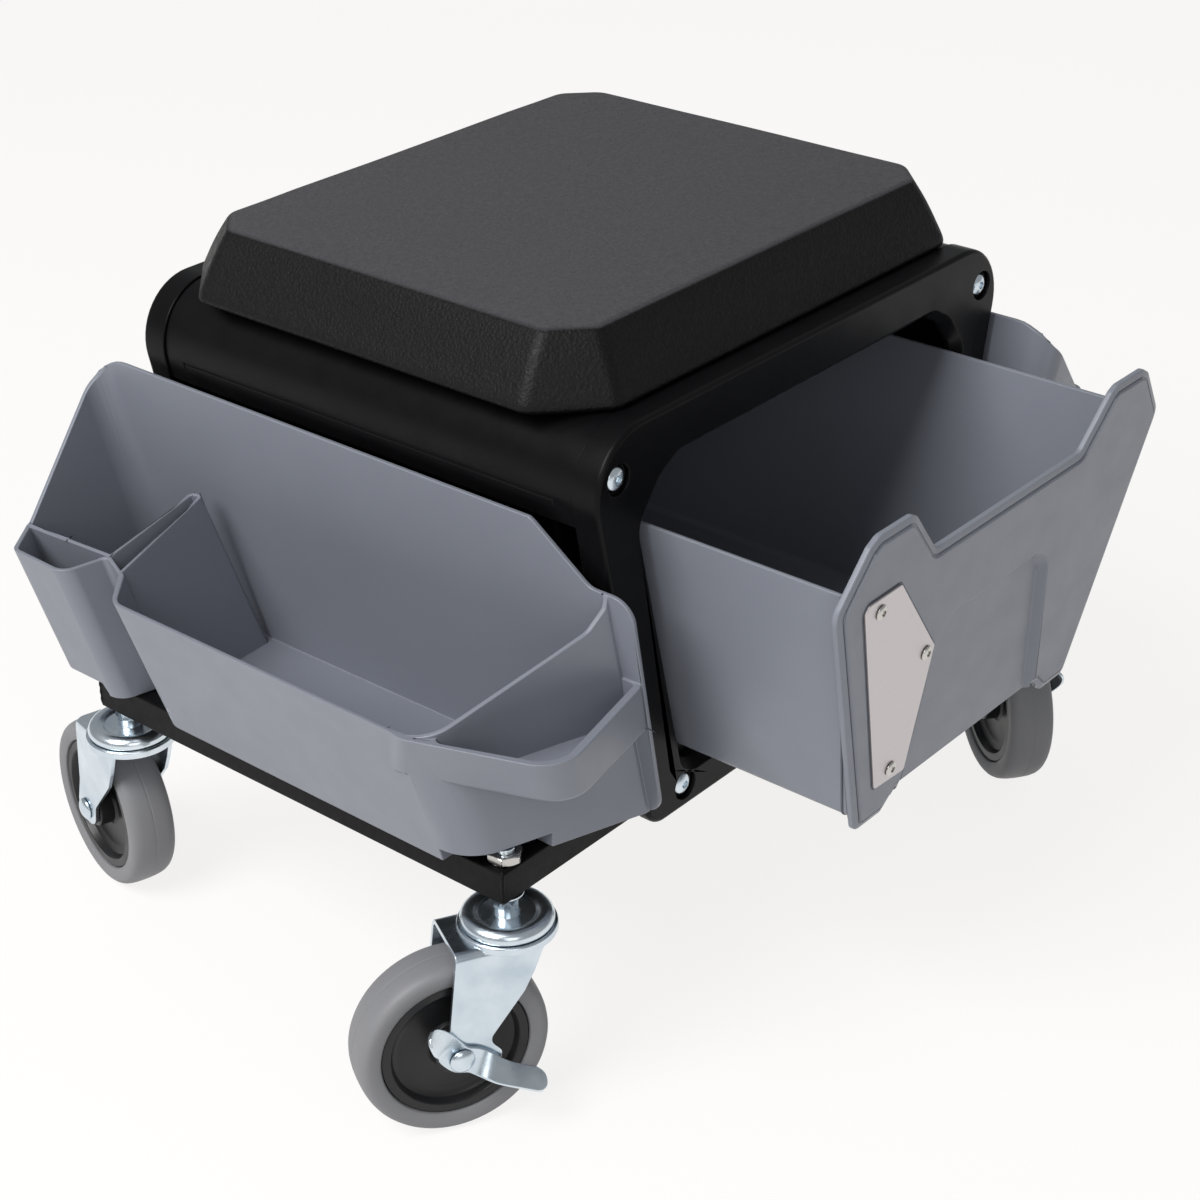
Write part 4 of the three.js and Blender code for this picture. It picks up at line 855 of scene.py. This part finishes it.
def tray_shell(wall):
    heights = [0, RIM_HEIGHT, BACK_HEIGHT]
    inner_heights = [wall, RIM_HEIGHT, BACK_HEIGHT + OVER]
    over = BACK_HEIGHT + OVER * 2
    above = TRAY_BOTTOM + over
    far = -FAR
    lean = (RIM_BACK - FLOOR_BACK) / RIM_HEIGHT

    def lofted(corners, levels, inwards=0):
        return loft([(inset(corners(height), inwards) if inwards else corners(height), TRAY_BOTTOM + height)
                     for height in levels], 8)

    def partition(height):
        rear, front = tray_corners(PARTITION_SHARES, [0, 0])(height)
        return [(rear[0] - 1.2, rear[1]), (front[0] - 1.2, front[1]), (front[0] + 1.2, front[1]),
                (rear[0] + 1.2, rear[1])]

    def back_x(height):
        return -FLOOR_BACK - lean * height

    def inward(height):
        return back_x(height) - wall, height

    def profile_cut(points, y0, y1):
        return along_y([*[(x, TRAY_BOTTOM + height, *rest) for x, height, *rest in points],
                        (back_x(over) - wall, above), (far, above)], y0, y1)

    main = tray_corners(TRAY_SHARES, TRAY_RADII)
    wedge = tray_corners(WEDGE_SHARES, WEDGE_RADII)
    pocket = pocket_corners(POCKET_SHARES, POCKET_RADII)
    outer = lofted(main, heights)
    hollow = lofted(main, inner_heights, wall)
    wedge_hollow = lofted(wedge, inner_heights, 2.2)
    pocket_low = RIM_HEIGHT - POCKET_DEPTH
    underside = ((0, 2.2), (0.5, 1.1), (1.4, 0.35), (2.6, 0), (POCKET_DEPTH, 0))
    pocket_solid = loft([(inset(pocket(pocket_low + rise), inwards), TRAY_BOTTOM + pocket_low + rise)
                         for rise, inwards in underside], 8)
    pocket_space = pocket_corners(HOLLOW_SHARES, HOLLOW_RADII)
    pocket_hollow = cut(lofted(pocket_space, [RIM_HEIGHT - 25, RIM_HEIGHT + OVER]), outer)

    flange_top = TRAY_BOTTOM + FLANGE_HEIGHT
    flange = loft([(rectangle(back_x(height) - wall, back_x(height), -176, -154), TRAY_BOTTOM + height)
                   for height in (0, FLANGE_HEIGHT)])
    flange_corner = along_x([(-176, TRAY_BOTTOM, 12), (130, TRAY_BOTTOM), (130, flange_top),
                             (-176, flange_top, 12)], far, 0)

    # What the trimming leaves: a high back, a rear bin whose sides slope, and a low rim at the front
    zone_front, zone_rear = rim_y(0.6), rim_y(0.885)
    rear_cut = profile_cut([(far, STEP_HEIGHT), (rim_x(0.76), STEP_HEIGHT, 4),
                            (rim_x(0.16), BACK_HEIGHT * 0.94, 12), inward(BACK_HEIGHT)], zone_rear, FAR)
    middle_cut = profile_cut([(far, STEP_HEIGHT), (rim_x(0.79), STEP_HEIGHT), (rim_x(0.1), 99.9),
                              inward(102.5)], zone_front, zone_rear)
    front_cut = profile_cut([(far, RIM_HEIGHT), (rim_x(0.98), RIM_HEIGHT), (rim_x(0.2), 114, 10),
                             (rim_x(0.12), 123.6), inward(FLANGE_HEIGHT)], far, zone_front)
    step = TRAY_BOTTOM + STEP_HEIGHT
    outer_cut = along_x([(rim_y(0.16), TRAY_RIM), (rim_y(0.704), TRAY_RIM), (rim_y(0.744), step),
                         (FAR, step), (FAR, above), (rim_y(0.16), above)], far, rim_x(0.79))
    back_cut = along_x([(-151, flange_top, 8), (-119, TRAY_TOP, 14), (-100, above), (far, above),
                        (far, flange_top)], far, 0)
    crest = TRAY_TOP - 0.2
    corner_cut = along_x([(150, crest), (197.5, crest, 28), (197.5, TRAY_TOP - 45), (210, TRAY_TOP - 45),
                          (210, above), (far, above), (far, crest)], far, 0)

    roof = TRAY_BOTTOM + 8
    floors, notches = [], []
    for low, high, floor_low, floor_high in ((far, -118, far, -118 + wall), (127, FAR, 127 - wall, FAR)):
        floors.append(block(far, -201 + wall, floor_low, floor_high, TRAY_BOTTOM, roof + wall))
        notches.append(block(far, -201, low, high, TRAY_BOTTOM - OVER, roof))
    inside = common(join(lofted(wedge, heights), lofted(partition, heights), *floors), outer)
    shell = cut(join(cut(join(outer, pocket_solid), hollow), inside), wedge_hollow, pocket_hollow)
    trimmed = cut(shell, rear_cut, middle_cut, front_cut, outer_cut)
    whole = cut(join(trimmed, common(flange, flange_corner)), back_cut, corner_cut, *notches)

    shelf = FRAME_TOP + 120
    arm_low = shelf + 11.3
    arm_end = -FLOOR_BACK - lean * (arm_low - TRAY_BOTTOM) - wall / 2
    tip = -side_half(shelf) - 17 + 2.5 + GAP
    hooks = []
    for y in (-75, 75):
        hooks += [block(arm_end, tip + 3, y - 8, y + 8, arm_low, arm_low + 3),
                  block(tip, tip + 3, y - 8, y + 8, arm_low - 6, arm_low + 3)]
    return join(whole, *hooks)


# Caster pieces, drawn with the wheel trailing towards +X and the axle along Y
FORK_SHARES = [
    (-0.489, 1), (-0.41, 0.959), (-0.22, 0.694), (-0.052, 0.512), (0.535, 0.094), (0.336, -0.033),
    (0.367, -0.165), (1.04, -0.116), (1.239, 0.066), (1.144, 0.293), (0.997, 1),
]
FORK_END_SHARES = [
    (-0.489, 1), (-0.41, 0.959), (-0.22, 0.694), (-0.052, 0.512), (0.62, 0.1), (0.72, -0.14),
    (1.27, -0.15), (1.29, 0.04), (1.144, 0.293), (0.997, 1),
]
FORK_RADII = [0, 3, 4, 5, 5, 4, 5, 9, 4, 6, 0]
FORK_END_RADII = [0, 3, 4, 5, 8, 8, 8, 4, 6, 0]
FORK_OUTSIDE = 18.7
FORK_INSIDE = 16.2
# From the wheel's middle to the seats of the axle's head and nut, and what a lever adds under the head
AXLE_SEAT = 19
LEVER_SPACE = 2.3
# The bearing cup as (radius, height over its lowest edge)
CUP_PROFILE = [
    (21.1, 1), (23.2, 0), (23.6, 0.5), (23.6, 2.2), (23.1, 3.7), (22.1, 5), (20.6, 5.9), (18.9, 6.3),
    (17.2, 6.1), (15.6, 5.4), (14.6, 4.5), (13.9, 3.9), (7.1, 3.8), (6.6, 4.3),
]
# The lever's strip as (x, z, width, twist in degrees); x and z are shares of its reach from the axle
LEVER_SHARES = [
    (-0.887, -0.468, 0.28, 60), (-0.875, -0.462, 0.54, 60), (-0.847, -0.447, 0.78, 60),
    (-0.808, -0.427, 0.93, 60), (-0.755, -0.398, 1, 60), (-0.54, -0.28, 1, 60),
    (-0.37, -0.18, 1, 46), (-0.245, -0.1, 1, 22), (-0.13, -0.045, 1.1, 0), (0, 0, 1.14, 0),
    (0.1, 0.1, 1.1, 0), (0.175, 0.235, 1.02, 20), (0.245, 0.338, 1.04, 38), (0.285, 0.396, 1, 46),
    (0.322, 0.45, 0.86, 50), (0.347, 0.488, 0.62, 50), (0.36, 0.508, 0.32, 50),
]


def fork_shell(braked):
    shares, radii = (FORK_SHARES, FORK_RADII) if braked else (FORK_END_SHARES, FORK_END_RADII)
    silhouette = [(x * TRAIL, WHEEL_RADIUS + z * (FORK_TOP - WHEEL_RADIUS), radius)
                  for (x, z), radius in zip(shares, radii)]

    def arch(half, low, high, radius, reach):
        return along_x([(-half, low), (half, low), (half, high, radius), (-half, high, radius)], -reach,
                       reach)

    channel = cut(arch(FORK_OUTSIDE, 0, FORK_TOP, 5, 66), arch(FORK_INSIDE, -OVER, FORK_UNDER, 2.5, 70))
    legs = common(channel, along_y(silhouette, -21, 21, 6))
    race = turned([(5, FORK_UNDER), (25.2, FORK_UNDER), (25.2, RACE_TOP - 0.7), (24.5, RACE_TOP),
                   (22.2, RACE_TOP), (21.5, RACE_TOP - 0.4), (19.7, FORK_TOP), (5, FORK_TOP)])
    axle = (TRAIL, 0, WHEEL_RADIUS)
    dish = [(0, 16.1), (8.2, 16.1), (7.2, 16.9), (4.2, 17.6), (0, 17.6)]
    dishes = [turned(profile, FINE_STEPS, "y", axle)
              for profile in ([(radius, -width) for radius, width in reversed(dish)], dish)]
    return cut(join(legs, race), *dishes, rod(AXLE_BORE, -66, 66, "y", axle), rod(5, 0, FORK_TOP + OVER))


def stem_shell():
    cup = [(radius, CUP_BOTTOM + height) for radius, height in CUP_PROFILE]
    body = turned([(0, 103.5), (7.5, 103.5), (7.5, 106), (4.7, FORK_UNDER - GAP), (4.7, CUP_BOTTOM + 1), *cup,
                   (6.6, HEX_BOTTOM - 0.4), (6.2, HEX_BOTTOM), (5, HEX_BOTTOM), (5, 154.9), (4.2, 155.6),
                   (0, 155.6)], 64)
    hexes = chamfered_hex(13, HEX_BOTTOM - GAP, HEX_TOP - 1.2)
    washer = turned([(0, HEX_TOP - 1.4), (8.6, HEX_TOP - 1.4), (8.8, HEX_TOP - 1.1), (8.8, HEX_TOP - 0.3),
                     (8.6, HEX_TOP), (0, HEX_TOP)], FINE_STEPS)
    return join(body, hexes, washer)


def chamfered_hex(flats, low, high):
    corner = flats / math.sqrt(3)
    round_tool = turned([(0, low), (flats / 2 * 0.96, low), (corner, low + 0.9), (corner, high - 0.9),
                         (flats / 2 * 0.96, high), (0, high)], FINE_STEPS)
    return common(along_z(hexagon(flats), low, high), round_tool)


def nut_shell(flats, height, bore):
    return cut(chamfered_hex(flats, 0, height), rod(bore, -OVER, height + OVER))


def button_screw(head, rise, shaft, length, flats=0, depth=0):
    quarter, steps = math.pi / 2, 6
    crown = [(head * math.cos(quarter * (step / steps) ** 0.8),
              rise * (0.22 + 0.78 * math.sin(quarter * step / steps))) for step in range(steps)]
    body = turned([(0, -length), (shaft * 0.8, -length), (shaft, -length + shaft * 0.3), (shaft, 0),
                   (head * 0.97, 0), *crown, (0, rise)], FINE_STEPS)
    return cut(body, along_z(hexagon(flats), rise - depth, rise + OVER)) if flats else body


def wheel_profile(half, *middle):
    return [*[(radius, -width) for radius, width in half], *middle, *reversed(half)]


def core_shell():
    half = [(AXLE_BORE, 15.6), (11.4, 15.6), (12, 15), (12.5, 7), (14, 5.8), (18, 5.5), (27, 5.5), (30, 6.2),
            (32, 7.6), (33.2, 10.6), (33.9, 11.5), (38, 11.5), (38.4, 11.1)]
    return turned(wheel_profile(half), TURN_STEPS, "y")


def tyre_shell():
    half = [(38.7, 11.9), (39.6, 12.5), (41.6, 13.1), (43.8, 13.4), (45.4, 13.3), (46.9, 12.8), (48.1, 11.7),
            (49, 10), (49.55, 7.8), (49.85, 5), (49.97, 2.2), (50, 0.5), (49.85, 0.3)]
    return turned(wheel_profile(half, (49.8, 0)), 96, "y")


LEVER_THICKNESS = 2
LEVER_HALF_WIDTH = 7
LEVER_RISE = 7.2


# A strip that lies flat at the axle and rises and twists outwards towards both ends
def lever_shell(reach):
    stations = smooth_profile([(x, z, width, twist / 90) for x, z, width, twist in LEVER_SHARES], 4)
    middle = FORK_OUTSIDE + GAP + LEVER_THICKNESS / 2
    centres = [Vector((x * reach, middle + LEVER_RISE * math.sin(math.radians(twist * 90)), z * reach))
               for x, z, width, twist in stations]
    rings = []
    for i, (centre, (_, _, width, twist)) in enumerate(zip(centres, stations)):
        ahead = centres[min(i + 1, len(centres) - 1)] - centres[max(i - 1, 0)]
        ahead.y = 0
        ahead.normalize()
        outward = Vector((0, 1, 0))
        angle = math.radians(twist * 90)
        across = outward.cross(ahead) * math.cos(angle) + outward * math.sin(angle)
        through = ahead.cross(across)
        wide = LEVER_HALF_WIDTH * width
        section = [(-wide, 0), (-wide + 0.35, -0.75), (-wide + 1, -1), (wide - 1, -1), (wide - 0.35, -0.75),
                   (wide, 0), (wide - 0.35, 0.75), (wide - 1, 1), (-wide + 1, 1), (-wide + 0.35, 0.75)]
        rings.append([tuple(centre + across * u + through * v) for u, v in section])
    return cut(rings_to_shell(rings), rod(AXLE_BORE, 0, reach, "y"))


def length_property(name, description, default, least=0):
    return FloatProperty(name=name, description=description, default=default, min=least, unit="LENGTH",
                         subtype="DISTANCE")


def colour_property(name, description, default):
    return FloatVectorProperty(name=name, description=description, default=default, min=0, max=1, size=3,
                               subtype="COLOR")


class CreeperSeatSizes(PropertyGroup):
    seat_height: length_property("Seat pad height", "From the cover to the top of the bevel", 0.0369, 0.01)
    seat_crown: length_property("Seat crown", "How far the pad's middle stands over its edge", 0.0018)
    seat_draw_in: length_property("Seat draw-in", "How far the pad's sides pull in between corners", 0.0014)
    seat_grain: length_property("Seat grain depth", "Depth of the leather grain on the pad", 0.0005)
    panel_fillet: length_property("Panel fillet", "Radius round the face of both end panels", 0.0026, 0.001)
    moulded_edge: length_property("Moulded edge", "Rounding of edges of plastic mouldings", 0.0007, 0.0001)
    sheet_edge: length_property("Sheet edge", "Rounding of edges of pressed steel", 0.00035, 0.0001)
    tray_wall: length_property("Tray wall", "Thickness of the tray's outer walls", 0.0026, 0.001)
    badge_thickness: length_property("Badge thickness", "Thickness of the plate on the drawer", 0.001, 0.0003)
    lever_reach: length_property("Brake lever reach", "Length that the lever's shares refer to", 0.047, 0.02)
    floor_reach: length_property("Floor reach", "Half the length of the studio floor", 30, 2)


class CreeperSeatColours(PropertyGroup):
    body_plastic: colour_property("Body plastic", "Panels, cover and side panels", (0.0030, 0.0029, 0.0034))
    frame_paint: colour_property("Frame paint", "Paint on the welded frame", (0.0028, 0.0027, 0.0031))
    seat_skin: colour_property("Seat skin", "Skin of the seat pad", (0.060, 0.058, 0.064))
    tray_plastic: colour_property("Tray plastic", "Trays and drawer", (0.203, 0.216, 0.252))
    zinc: colour_property("Zinc plating", "Forks, levers and screws", (0.59, 0.68, 0.76))
    zinc_sheen: colour_property("Zinc sheen", "Paler patches of the zinc plating", (0.76, 0.83, 0.88))
    nickel: colour_property("Nickel plating", "Stem nuts and badge screws", (0.58, 0.565, 0.54))
    badge: colour_property("Badge plate", "Brushed plate on the drawer", (0.60, 0.56, 0.565))
    tyre: colour_property("Tyre", "Rubber of the wheels", (0.205, 0.205, 0.216))
    wheel: colour_property("Wheel core", "Moulded core of the wheels", (0.012, 0.012, 0.013))
    board: colour_property("Seat board", "Laminated board inside the pad", (0.36, 0.24, 0.13))
    floor: colour_property("Floor", "Studio floor and background", (0.985, 0.975, 0.962))


FINE_EDGE = 0.12
BOLT_EDGE = 0.15


def in_mm(length):
    return length / MM


class CREEPER_OT_finishes(Operator):
    """Makes the plastics, rubber, plating, paint and seat skin"""
    bl_idname = "creeper_seat.finishes"
    bl_label = "Finishes"

    def execute(self, context):
        colours = context.scene.creeper_colours
        sizes = context.scene.creeper_sizes
        FINISHES.clear()
        FINISHES.update({
            "body_plastic": moulded_plastic("body plastic", colours.body_plastic, 0.36, 900, 0.00016, 0.12),
            "grey_plastic": moulded_plastic("tray plastic", colours.tray_plastic, 0.38, 1100, 0.00006, 0.5,
                                            0.02),
            "wheel_core": moulded_plastic("wheel plastic", colours.wheel, 0.36, 700, 0.0001, 0.35),
            "tyre": moulded_plastic("tyre rubber", colours.tyre, 0.5, 800, 0.00012, 0.45, 0.03),
            "frame_paint": painted_steel("frame paint", colours.frame_paint, 0.42),
            "seat_skin": seat_leather("seat skin", colours.seat_skin, 0.5, sizes.seat_grain),
            "zinc": plated_steel("zinc plating", colours.zinc, 0.24, colours.zinc_sheen),
            "nickel": plated_steel("nickel plating", colours.nickel, 0.27, shade(colours.nickel, 1.08)),
            "badge": brushed_steel("brushed badge", colours.badge, 0.36),
            "board": laminated_board("laminated board", colours.board),
        })
        return {"FINISHED"}


class CREEPER_OT_seat(Operator):
    """Builds the padded seat over its board"""
    bl_idname = "creeper_seat.seat"
    bl_label = "Seat"

    def execute(self, context):
        sizes = context.scene.creeper_sizes
        shell = seat_shell(in_mm(sizes.seat_height), in_mm(sizes.seat_crown), in_mm(sizes.seat_draw_in))
        pad = add_piece("seat_pad", shell, "chassis", "seat_skin", ["seat_cushion"], flatten=0)
        keep_node("seat_board", "board")
        return {"FINISHED"}


class CREEPER_OT_body(Operator):
    """Builds the welded frame, the end panels and the cover, and finishes the side panels and drawer runners
    """
    bl_idname = "creeper_seat.body"
    bl_label = "Body"

    def execute(self, context):
        sizes = context.scene.creeper_sizes
        edge = in_mm(sizes.moulded_edge)
        add_piece("welded_frame", frame_shell(), "chassis", "frame_paint", ["base_frame"], edge=1.1,
                  segments=3)
        add_piece("weld_beads", weld_shell(), "chassis", "frame_paint", plain=True)
        panel = panel_shell(in_mm(sizes.panel_fillet))
        add_piece("panel_front", panel, "chassis", "body_plastic", ["front_panel"], edge=edge)
        add_piece("panel_rear", moved(panel, HALF_TURN), "chassis", "body_plastic", ["rear_panel"], edge=edge)
        add_piece("arched_cover", cover_shell(), "chassis", "body_plastic", ["top_cover"], edge=0.35)
        for node in ("side_panel_left", "side_panel_right"):
            keep_node(node, "body_plastic")
        for node in ("drawer_runner_left", "drawer_runner_right"):
            keep_node(node, "frame_paint")
        return {"FINISHED"}


class CREEPER_OT_trays(Operator):
    """Builds the tray once and hangs it on both sides"""
    bl_idname = "creeper_seat.trays"
    bl_label = "Side trays"

    def execute(self, context):
        sizes = context.scene.creeper_sizes
        edge = in_mm(sizes.moulded_edge)
        tray = tray_shell(in_mm(sizes.tray_wall))
        for side, shell in (("left", tray), ("right", moved(tray, HALF_TURN))):
            add_piece(f"side_tray_{side}", shell, "chassis", "grey_plastic", [f"tray_{side}"], edge=edge,
                      segments=3)
        return {"FINISHED"}


class CREEPER_OT_drawer(Operator):
    """Builds the drawer, its plain badge plate and the three screws in it"""
    bl_idname = "creeper_seat.drawer"
    bl_label = "Drawer"

    def execute(self, context):
        sizes = context.scene.creeper_sizes
        thickness = in_mm(sizes.badge_thickness)
        add_piece("sliding_drawer", drawer_shell(), "drawer", "grey_plastic", ["drawer_bin"],
                  edge=in_mm(sizes.moulded_edge), segments=3, splits=(-64, 64))
        add_piece("plain_badge", badge_shell(thickness), "drawer", "badge", ["badge_plate"], edge=FINE_EDGE)
        screw = button_screw(4, 1.8, 1.5, 4, 2.9, 1.5)
        tilt = Matrix.Rotation(math.pi / 2 + math.atan(FRONT_LEAN), 4, "X")
        for name, share in zip(("top", "middle", "bottom"), BADGE_SCREW_SHARES):
            x, z, _ = on_front(*share)
            at = Matrix.Translation((x, face_y(z) - thickness - 2 * GAP, z))
            add_piece(f"badge_fixing_{name}", moved(screw, at @ tilt), "drawer", "nickel",
                      [f"badge_screw_{name}"], edge=FINE_EDGE)
        return {"FINISHED"}


class CREEPER_OT_screws(Operator):
    """Builds the button-head screws of the panels and finishes the seat bolts"""
    bl_idname = "creeper_seat.screws"
    bl_label = "Panel screws"

    def execute(self, context):
        flat = Matrix.Rotation(math.pi / 2, 4, "X")
        for end, turn in (("front", Matrix.Identity(4)), ("rear", HALF_TURN)):
            for height, (x, z), length in (("upper", UPPER_SCREW, 22), ("lower", LOWER_SCREW, 13)):
                screw = button_screw(6.3, 3.3, 3, length, 4, 2)
                for side, label in ((-1, "left"), (1, "right")):
                    at = Matrix.Translation((side * x, -PANEL_FACE + SCREW_SINK - GAP, z))
                    add_piece(f"{end}_fixing_{height}_{label}", moved(screw, turn @ at @ flat), "chassis",
                              "zinc", [f"{end}_panel_screw_{height}_{label}"], edge=BOLT_EDGE)
        for end in ("front", "rear"):
            for side in ("left", "right"):
                keep_node(f"seat_bolt_{end}_{side}", "zinc")
        return {"FINISHED"}


# The casters as (name, x, y, swivel in degrees, braked)
CASTERS = [
    ("front_left", -STEM_X, -STEM_Y, 151.5, True),
    ("front_right", STEM_X, -STEM_Y, -127.2, True),
    ("rear_left", -STEM_X, STEM_Y, 76, False),
    ("rear_right", STEM_X, STEM_Y, 28.5, False),
]


def caster_piece(caster, label, shell, matrix, body, finish, node, **options):
    add_piece(f"{caster}_{label}", moved(shell, matrix), body, finish, [f"{caster}_{node}"], **options)


class CREEPER_OT_casters(Operator):
    """Builds the four swivel casters, two of them with brake levers"""
    bl_idname = "creeper_seat.casters"
    bl_label = "Casters"

    def execute(self, context):
        sizes = context.scene.creeper_sizes
        edge = in_mm(sizes.sheet_edge)
        stem, core, tyre = stem_shell(), core_shell(), tyre_shell()
        forks = {True: fork_shell(True), False: fork_shell(False)}
        lever = lever_shell(in_mm(sizes.lever_reach))
        stem_nut = nut_shell(16, 5, STEM_BORE)
        axle_nut = nut_shell(13, 4.5, AXLE_BORE)
        for name, x, y, swivel, braked in CASTERS:
            place = Matrix.Translation((x, y, 0)) @ Matrix.Rotation(math.radians(swivel), 4, "Z")
            top = place @ Matrix.Translation((0, 0, FRAME_TOP + GAP))
            axle = place @ Matrix.Translation((TRAIL, 0, WHEEL_RADIUS))
            head_seat = AXLE_SEAT + (LEVER_SPACE if braked else 0)
            bolt = button_screw(6.5, 3.2, 4, head_seat + AXLE_SEAT + 6)
            head = axle @ (Matrix.Translation((0, head_seat, 0)) @ Matrix.Rotation(-math.pi / 2, 4, "X"))
            foot = axle @ (Matrix.Translation((0, -AXLE_SEAT, 0)) @ Matrix.Rotation(math.pi / 2, 4, "X"))
            fork, wheel = f"{name}_fork_body", f"{name}_wheel"
            caster_piece(name, "swivel_stem", stem, place, "chassis", "zinc", "stem")
            caster_piece(name, "top_nut", stem_nut, top, "chassis", "nickel", "stem_nut", edge=edge)
            caster_piece(name, "pressed_fork", forks[braked], place, fork, "zinc", "fork", edge=edge,
                         limit=35)
            caster_piece(name, "axle_head", bolt, head, fork, "zinc", "axle_bolt", edge=BOLT_EDGE)
            caster_piece(name, "axle_lock", axle_nut, foot, fork, "zinc", "axle_nut", edge=edge)
            caster_piece(name, "wheel_disc", core, axle, wheel, "wheel_core", "wheel_core", edge=0.3)
            caster_piece(name, "rubber", tyre, axle, wheel, "tyre", "tyre")
            if braked:
                caster_piece(name, "brake_strip", lever, axle, f"{name}_lever", "zinc", "brake_lever",
                             flatten=0)
        return {"FINISHED"}


# Studio: a pale floor that keeps the shadow, an even sky, a broad lamp from the upper left and a weak one in
# front. The floor looks like the background to the camera and in mirrors, and is plainly matt to other light.
CAMERA_PLACE = (-0.9379, -0.774413, 0.8247)
CAMERA_AZIMUTH = -49.92
CAMERA_ELEVATION = 28.77
CAMERA_ROLL = -0.55
CAMERA_LENS = 73.34
LAMPS = (
    ("key_lamp", (-2.0, 0.15, 2.3), 1.5, 78),
    ("front_lamp", (-1.7, -2.0, 1.3), 1.2, 8),
)
LAMP_AIM = Vector((0, 0, 0.25))


def seen_or_mirrored(tree):
    path = add_node(tree, "LightPath")
    total = path.outputs["Is Camera Ray"]
    for ray in ("Is Glossy Ray", "Is Transmission Ray"):
        total = add_node(tree, "Math", {0: total, 1: path.outputs[ray]}, operation="MAXIMUM").outputs[0]
    return total


class CREEPER_OT_stage(Operator):
    """Lays the floor and sets the sky, the lamps and the camera"""
    bl_idname = "creeper_seat.stage"
    bl_label = "Stage"

    def execute(self, context):
        scene = context.scene
        tone = tuple(scene.creeper_colours.floor)
        reach = scene.creeper_sizes.floor_reach

        mesh = bpy.data.meshes.new("studio_floor")
        mesh.from_pydata([(-reach, -reach, 0), (reach, -reach, 0), (reach, reach, 0), (-reach, reach, 0)], [],
                         [(0, 1, 2, 3)])
        floor = bpy.data.objects.new("studio_floor", mesh)
        scene.collection.objects.link(floor)
        finish, tree, surface = shader("studio floor")
        feed(tree, surface, {"Base Color": (*shade(tone, 0.8), 1), "Roughness": 1, "Specular IOR Level": 0})
        catcher = add_node(tree, "BsdfDiffuse", {"Color": (*shade(tone, 0.15), 1)})
        glow = add_node(tree, "Emission", {"Color": (*tone, 1), "Strength": 0.86})
        both = add_node(tree, "AddShader", {0: catcher.outputs[0], 1: glow.outputs[0]})
        seen = seen_or_mirrored(tree)
        choice = add_node(tree, "MixShader", {0: seen, 1: surface.outputs[0], 2: both.outputs[0]})
        feed(tree, tree.nodes["Material Output"], {"Surface": choice.outputs[0]})
        mesh.materials.append(finish)

        scene.world = bpy.data.worlds.new("studio_sky")
        scene.world.use_nodes = True
        sky = scene.world.node_tree
        light = sky.nodes["Background"]
        feed(sky, light, {"Color": (0.96, 0.98, 1, 1), "Strength": 0.36})
        seen = add_node(sky, "Background", {"Color": (*tone, 1), "Strength": 1})
        camera_ray = add_node(sky, "LightPath").outputs["Is Camera Ray"]
        choice = add_node(sky, "MixShader", {0: camera_ray, 1: light.outputs[0], 2: seen.outputs[0]})
        feed(sky, sky.nodes["World Output"], {"Surface": choice.outputs[0]})

        for name, place, size, power in LAMPS:
            lamp = bpy.data.lights.new(name, "AREA")
            lamp.size = size
            lamp.energy = power
            holder = bpy.data.objects.new(name, lamp)
            holder.location = place
            holder.rotation_euler = (LAMP_AIM - Vector(place)).to_track_quat("-Z", "Y").to_euler()
            scene.collection.objects.link(holder)

        azimuth, elevation, roll = (math.radians(v) for v in (CAMERA_AZIMUTH, CAMERA_ELEVATION, CAMERA_ROLL))
        back = Vector((math.sin(azimuth) * math.cos(elevation), -math.cos(azimuth) * math.cos(elevation),
                       math.sin(elevation)))
        level = Vector((math.cos(azimuth), math.sin(azimuth), 0))
        upright = back.cross(level)
        right = level * math.cos(roll) + upright * math.sin(roll)
        up = upright * math.cos(roll) - level * math.sin(roll)
        view = bpy.data.cameras.new("camera")
        view.lens = CAMERA_LENS
        view.sensor_width = 36
        view.clip_start = 0.02
        camera = bpy.data.objects.new("camera", view)
        turn = Matrix((right, up, back)).transposed().to_4x4()
        camera.matrix_world = Matrix.Translation(CAMERA_PLACE) @ turn
        scene.collection.objects.link(camera)
        scene.camera = camera
        scene.view_settings.view_transform = "Standard"
        return {"FINISHED"}


STEPS = (
    CREEPER_OT_stage, CREEPER_OT_finishes, CREEPER_OT_seat, CREEPER_OT_body, CREEPER_OT_trays,
    CREEPER_OT_drawer, CREEPER_OT_screws, CREEPER_OT_casters,
)


class CREEPER_PT_panel(Panel):
    """Lists the steps, sizes and colours of the seat"""
    bl_idname = "CREEPER_PT_panel"
    bl_label = "Creeper seat"
    bl_space_type = "VIEW_3D"
    bl_region_type = "UI"
    bl_category = "Creeper seat"

    def draw(self, context):
        for step in STEPS:
            self.layout.operator(step.bl_idname)
        for group in (context.scene.creeper_sizes, context.scene.creeper_colours):
            column = self.layout.column()
            for name in type(group).__annotations__:
                column.prop(group, name)


CLASSES = (CreeperSeatSizes, CreeperSeatColours, *STEPS, CREEPER_PT_panel)


def register():
    for item in CLASSES:
        bpy.utils.register_class(item)
    bpy.types.Scene.creeper_sizes = PointerProperty(type=CreeperSeatSizes)
    bpy.types.Scene.creeper_colours = PointerProperty(type=CreeperSeatColours)


def unregister():
    del bpy.types.Scene.creeper_colours
    del bpy.types.Scene.creeper_sizes
    for item in reversed(CLASSES):
        bpy.utils.unregister_class(item)


def main():
    register()
    bpy.ops.creeper_seat.stage()
    bpy.ops.creeper_seat.finishes()
    bpy.ops.creeper_seat.seat()
    bpy.ops.creeper_seat.body()
    bpy.ops.creeper_seat.trays()
    bpy.ops.creeper_seat.drawer()
    bpy.ops.creeper_seat.screws()
    bpy.ops.creeper_seat.casters()
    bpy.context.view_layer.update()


if __name__ == "__main__":
    main()
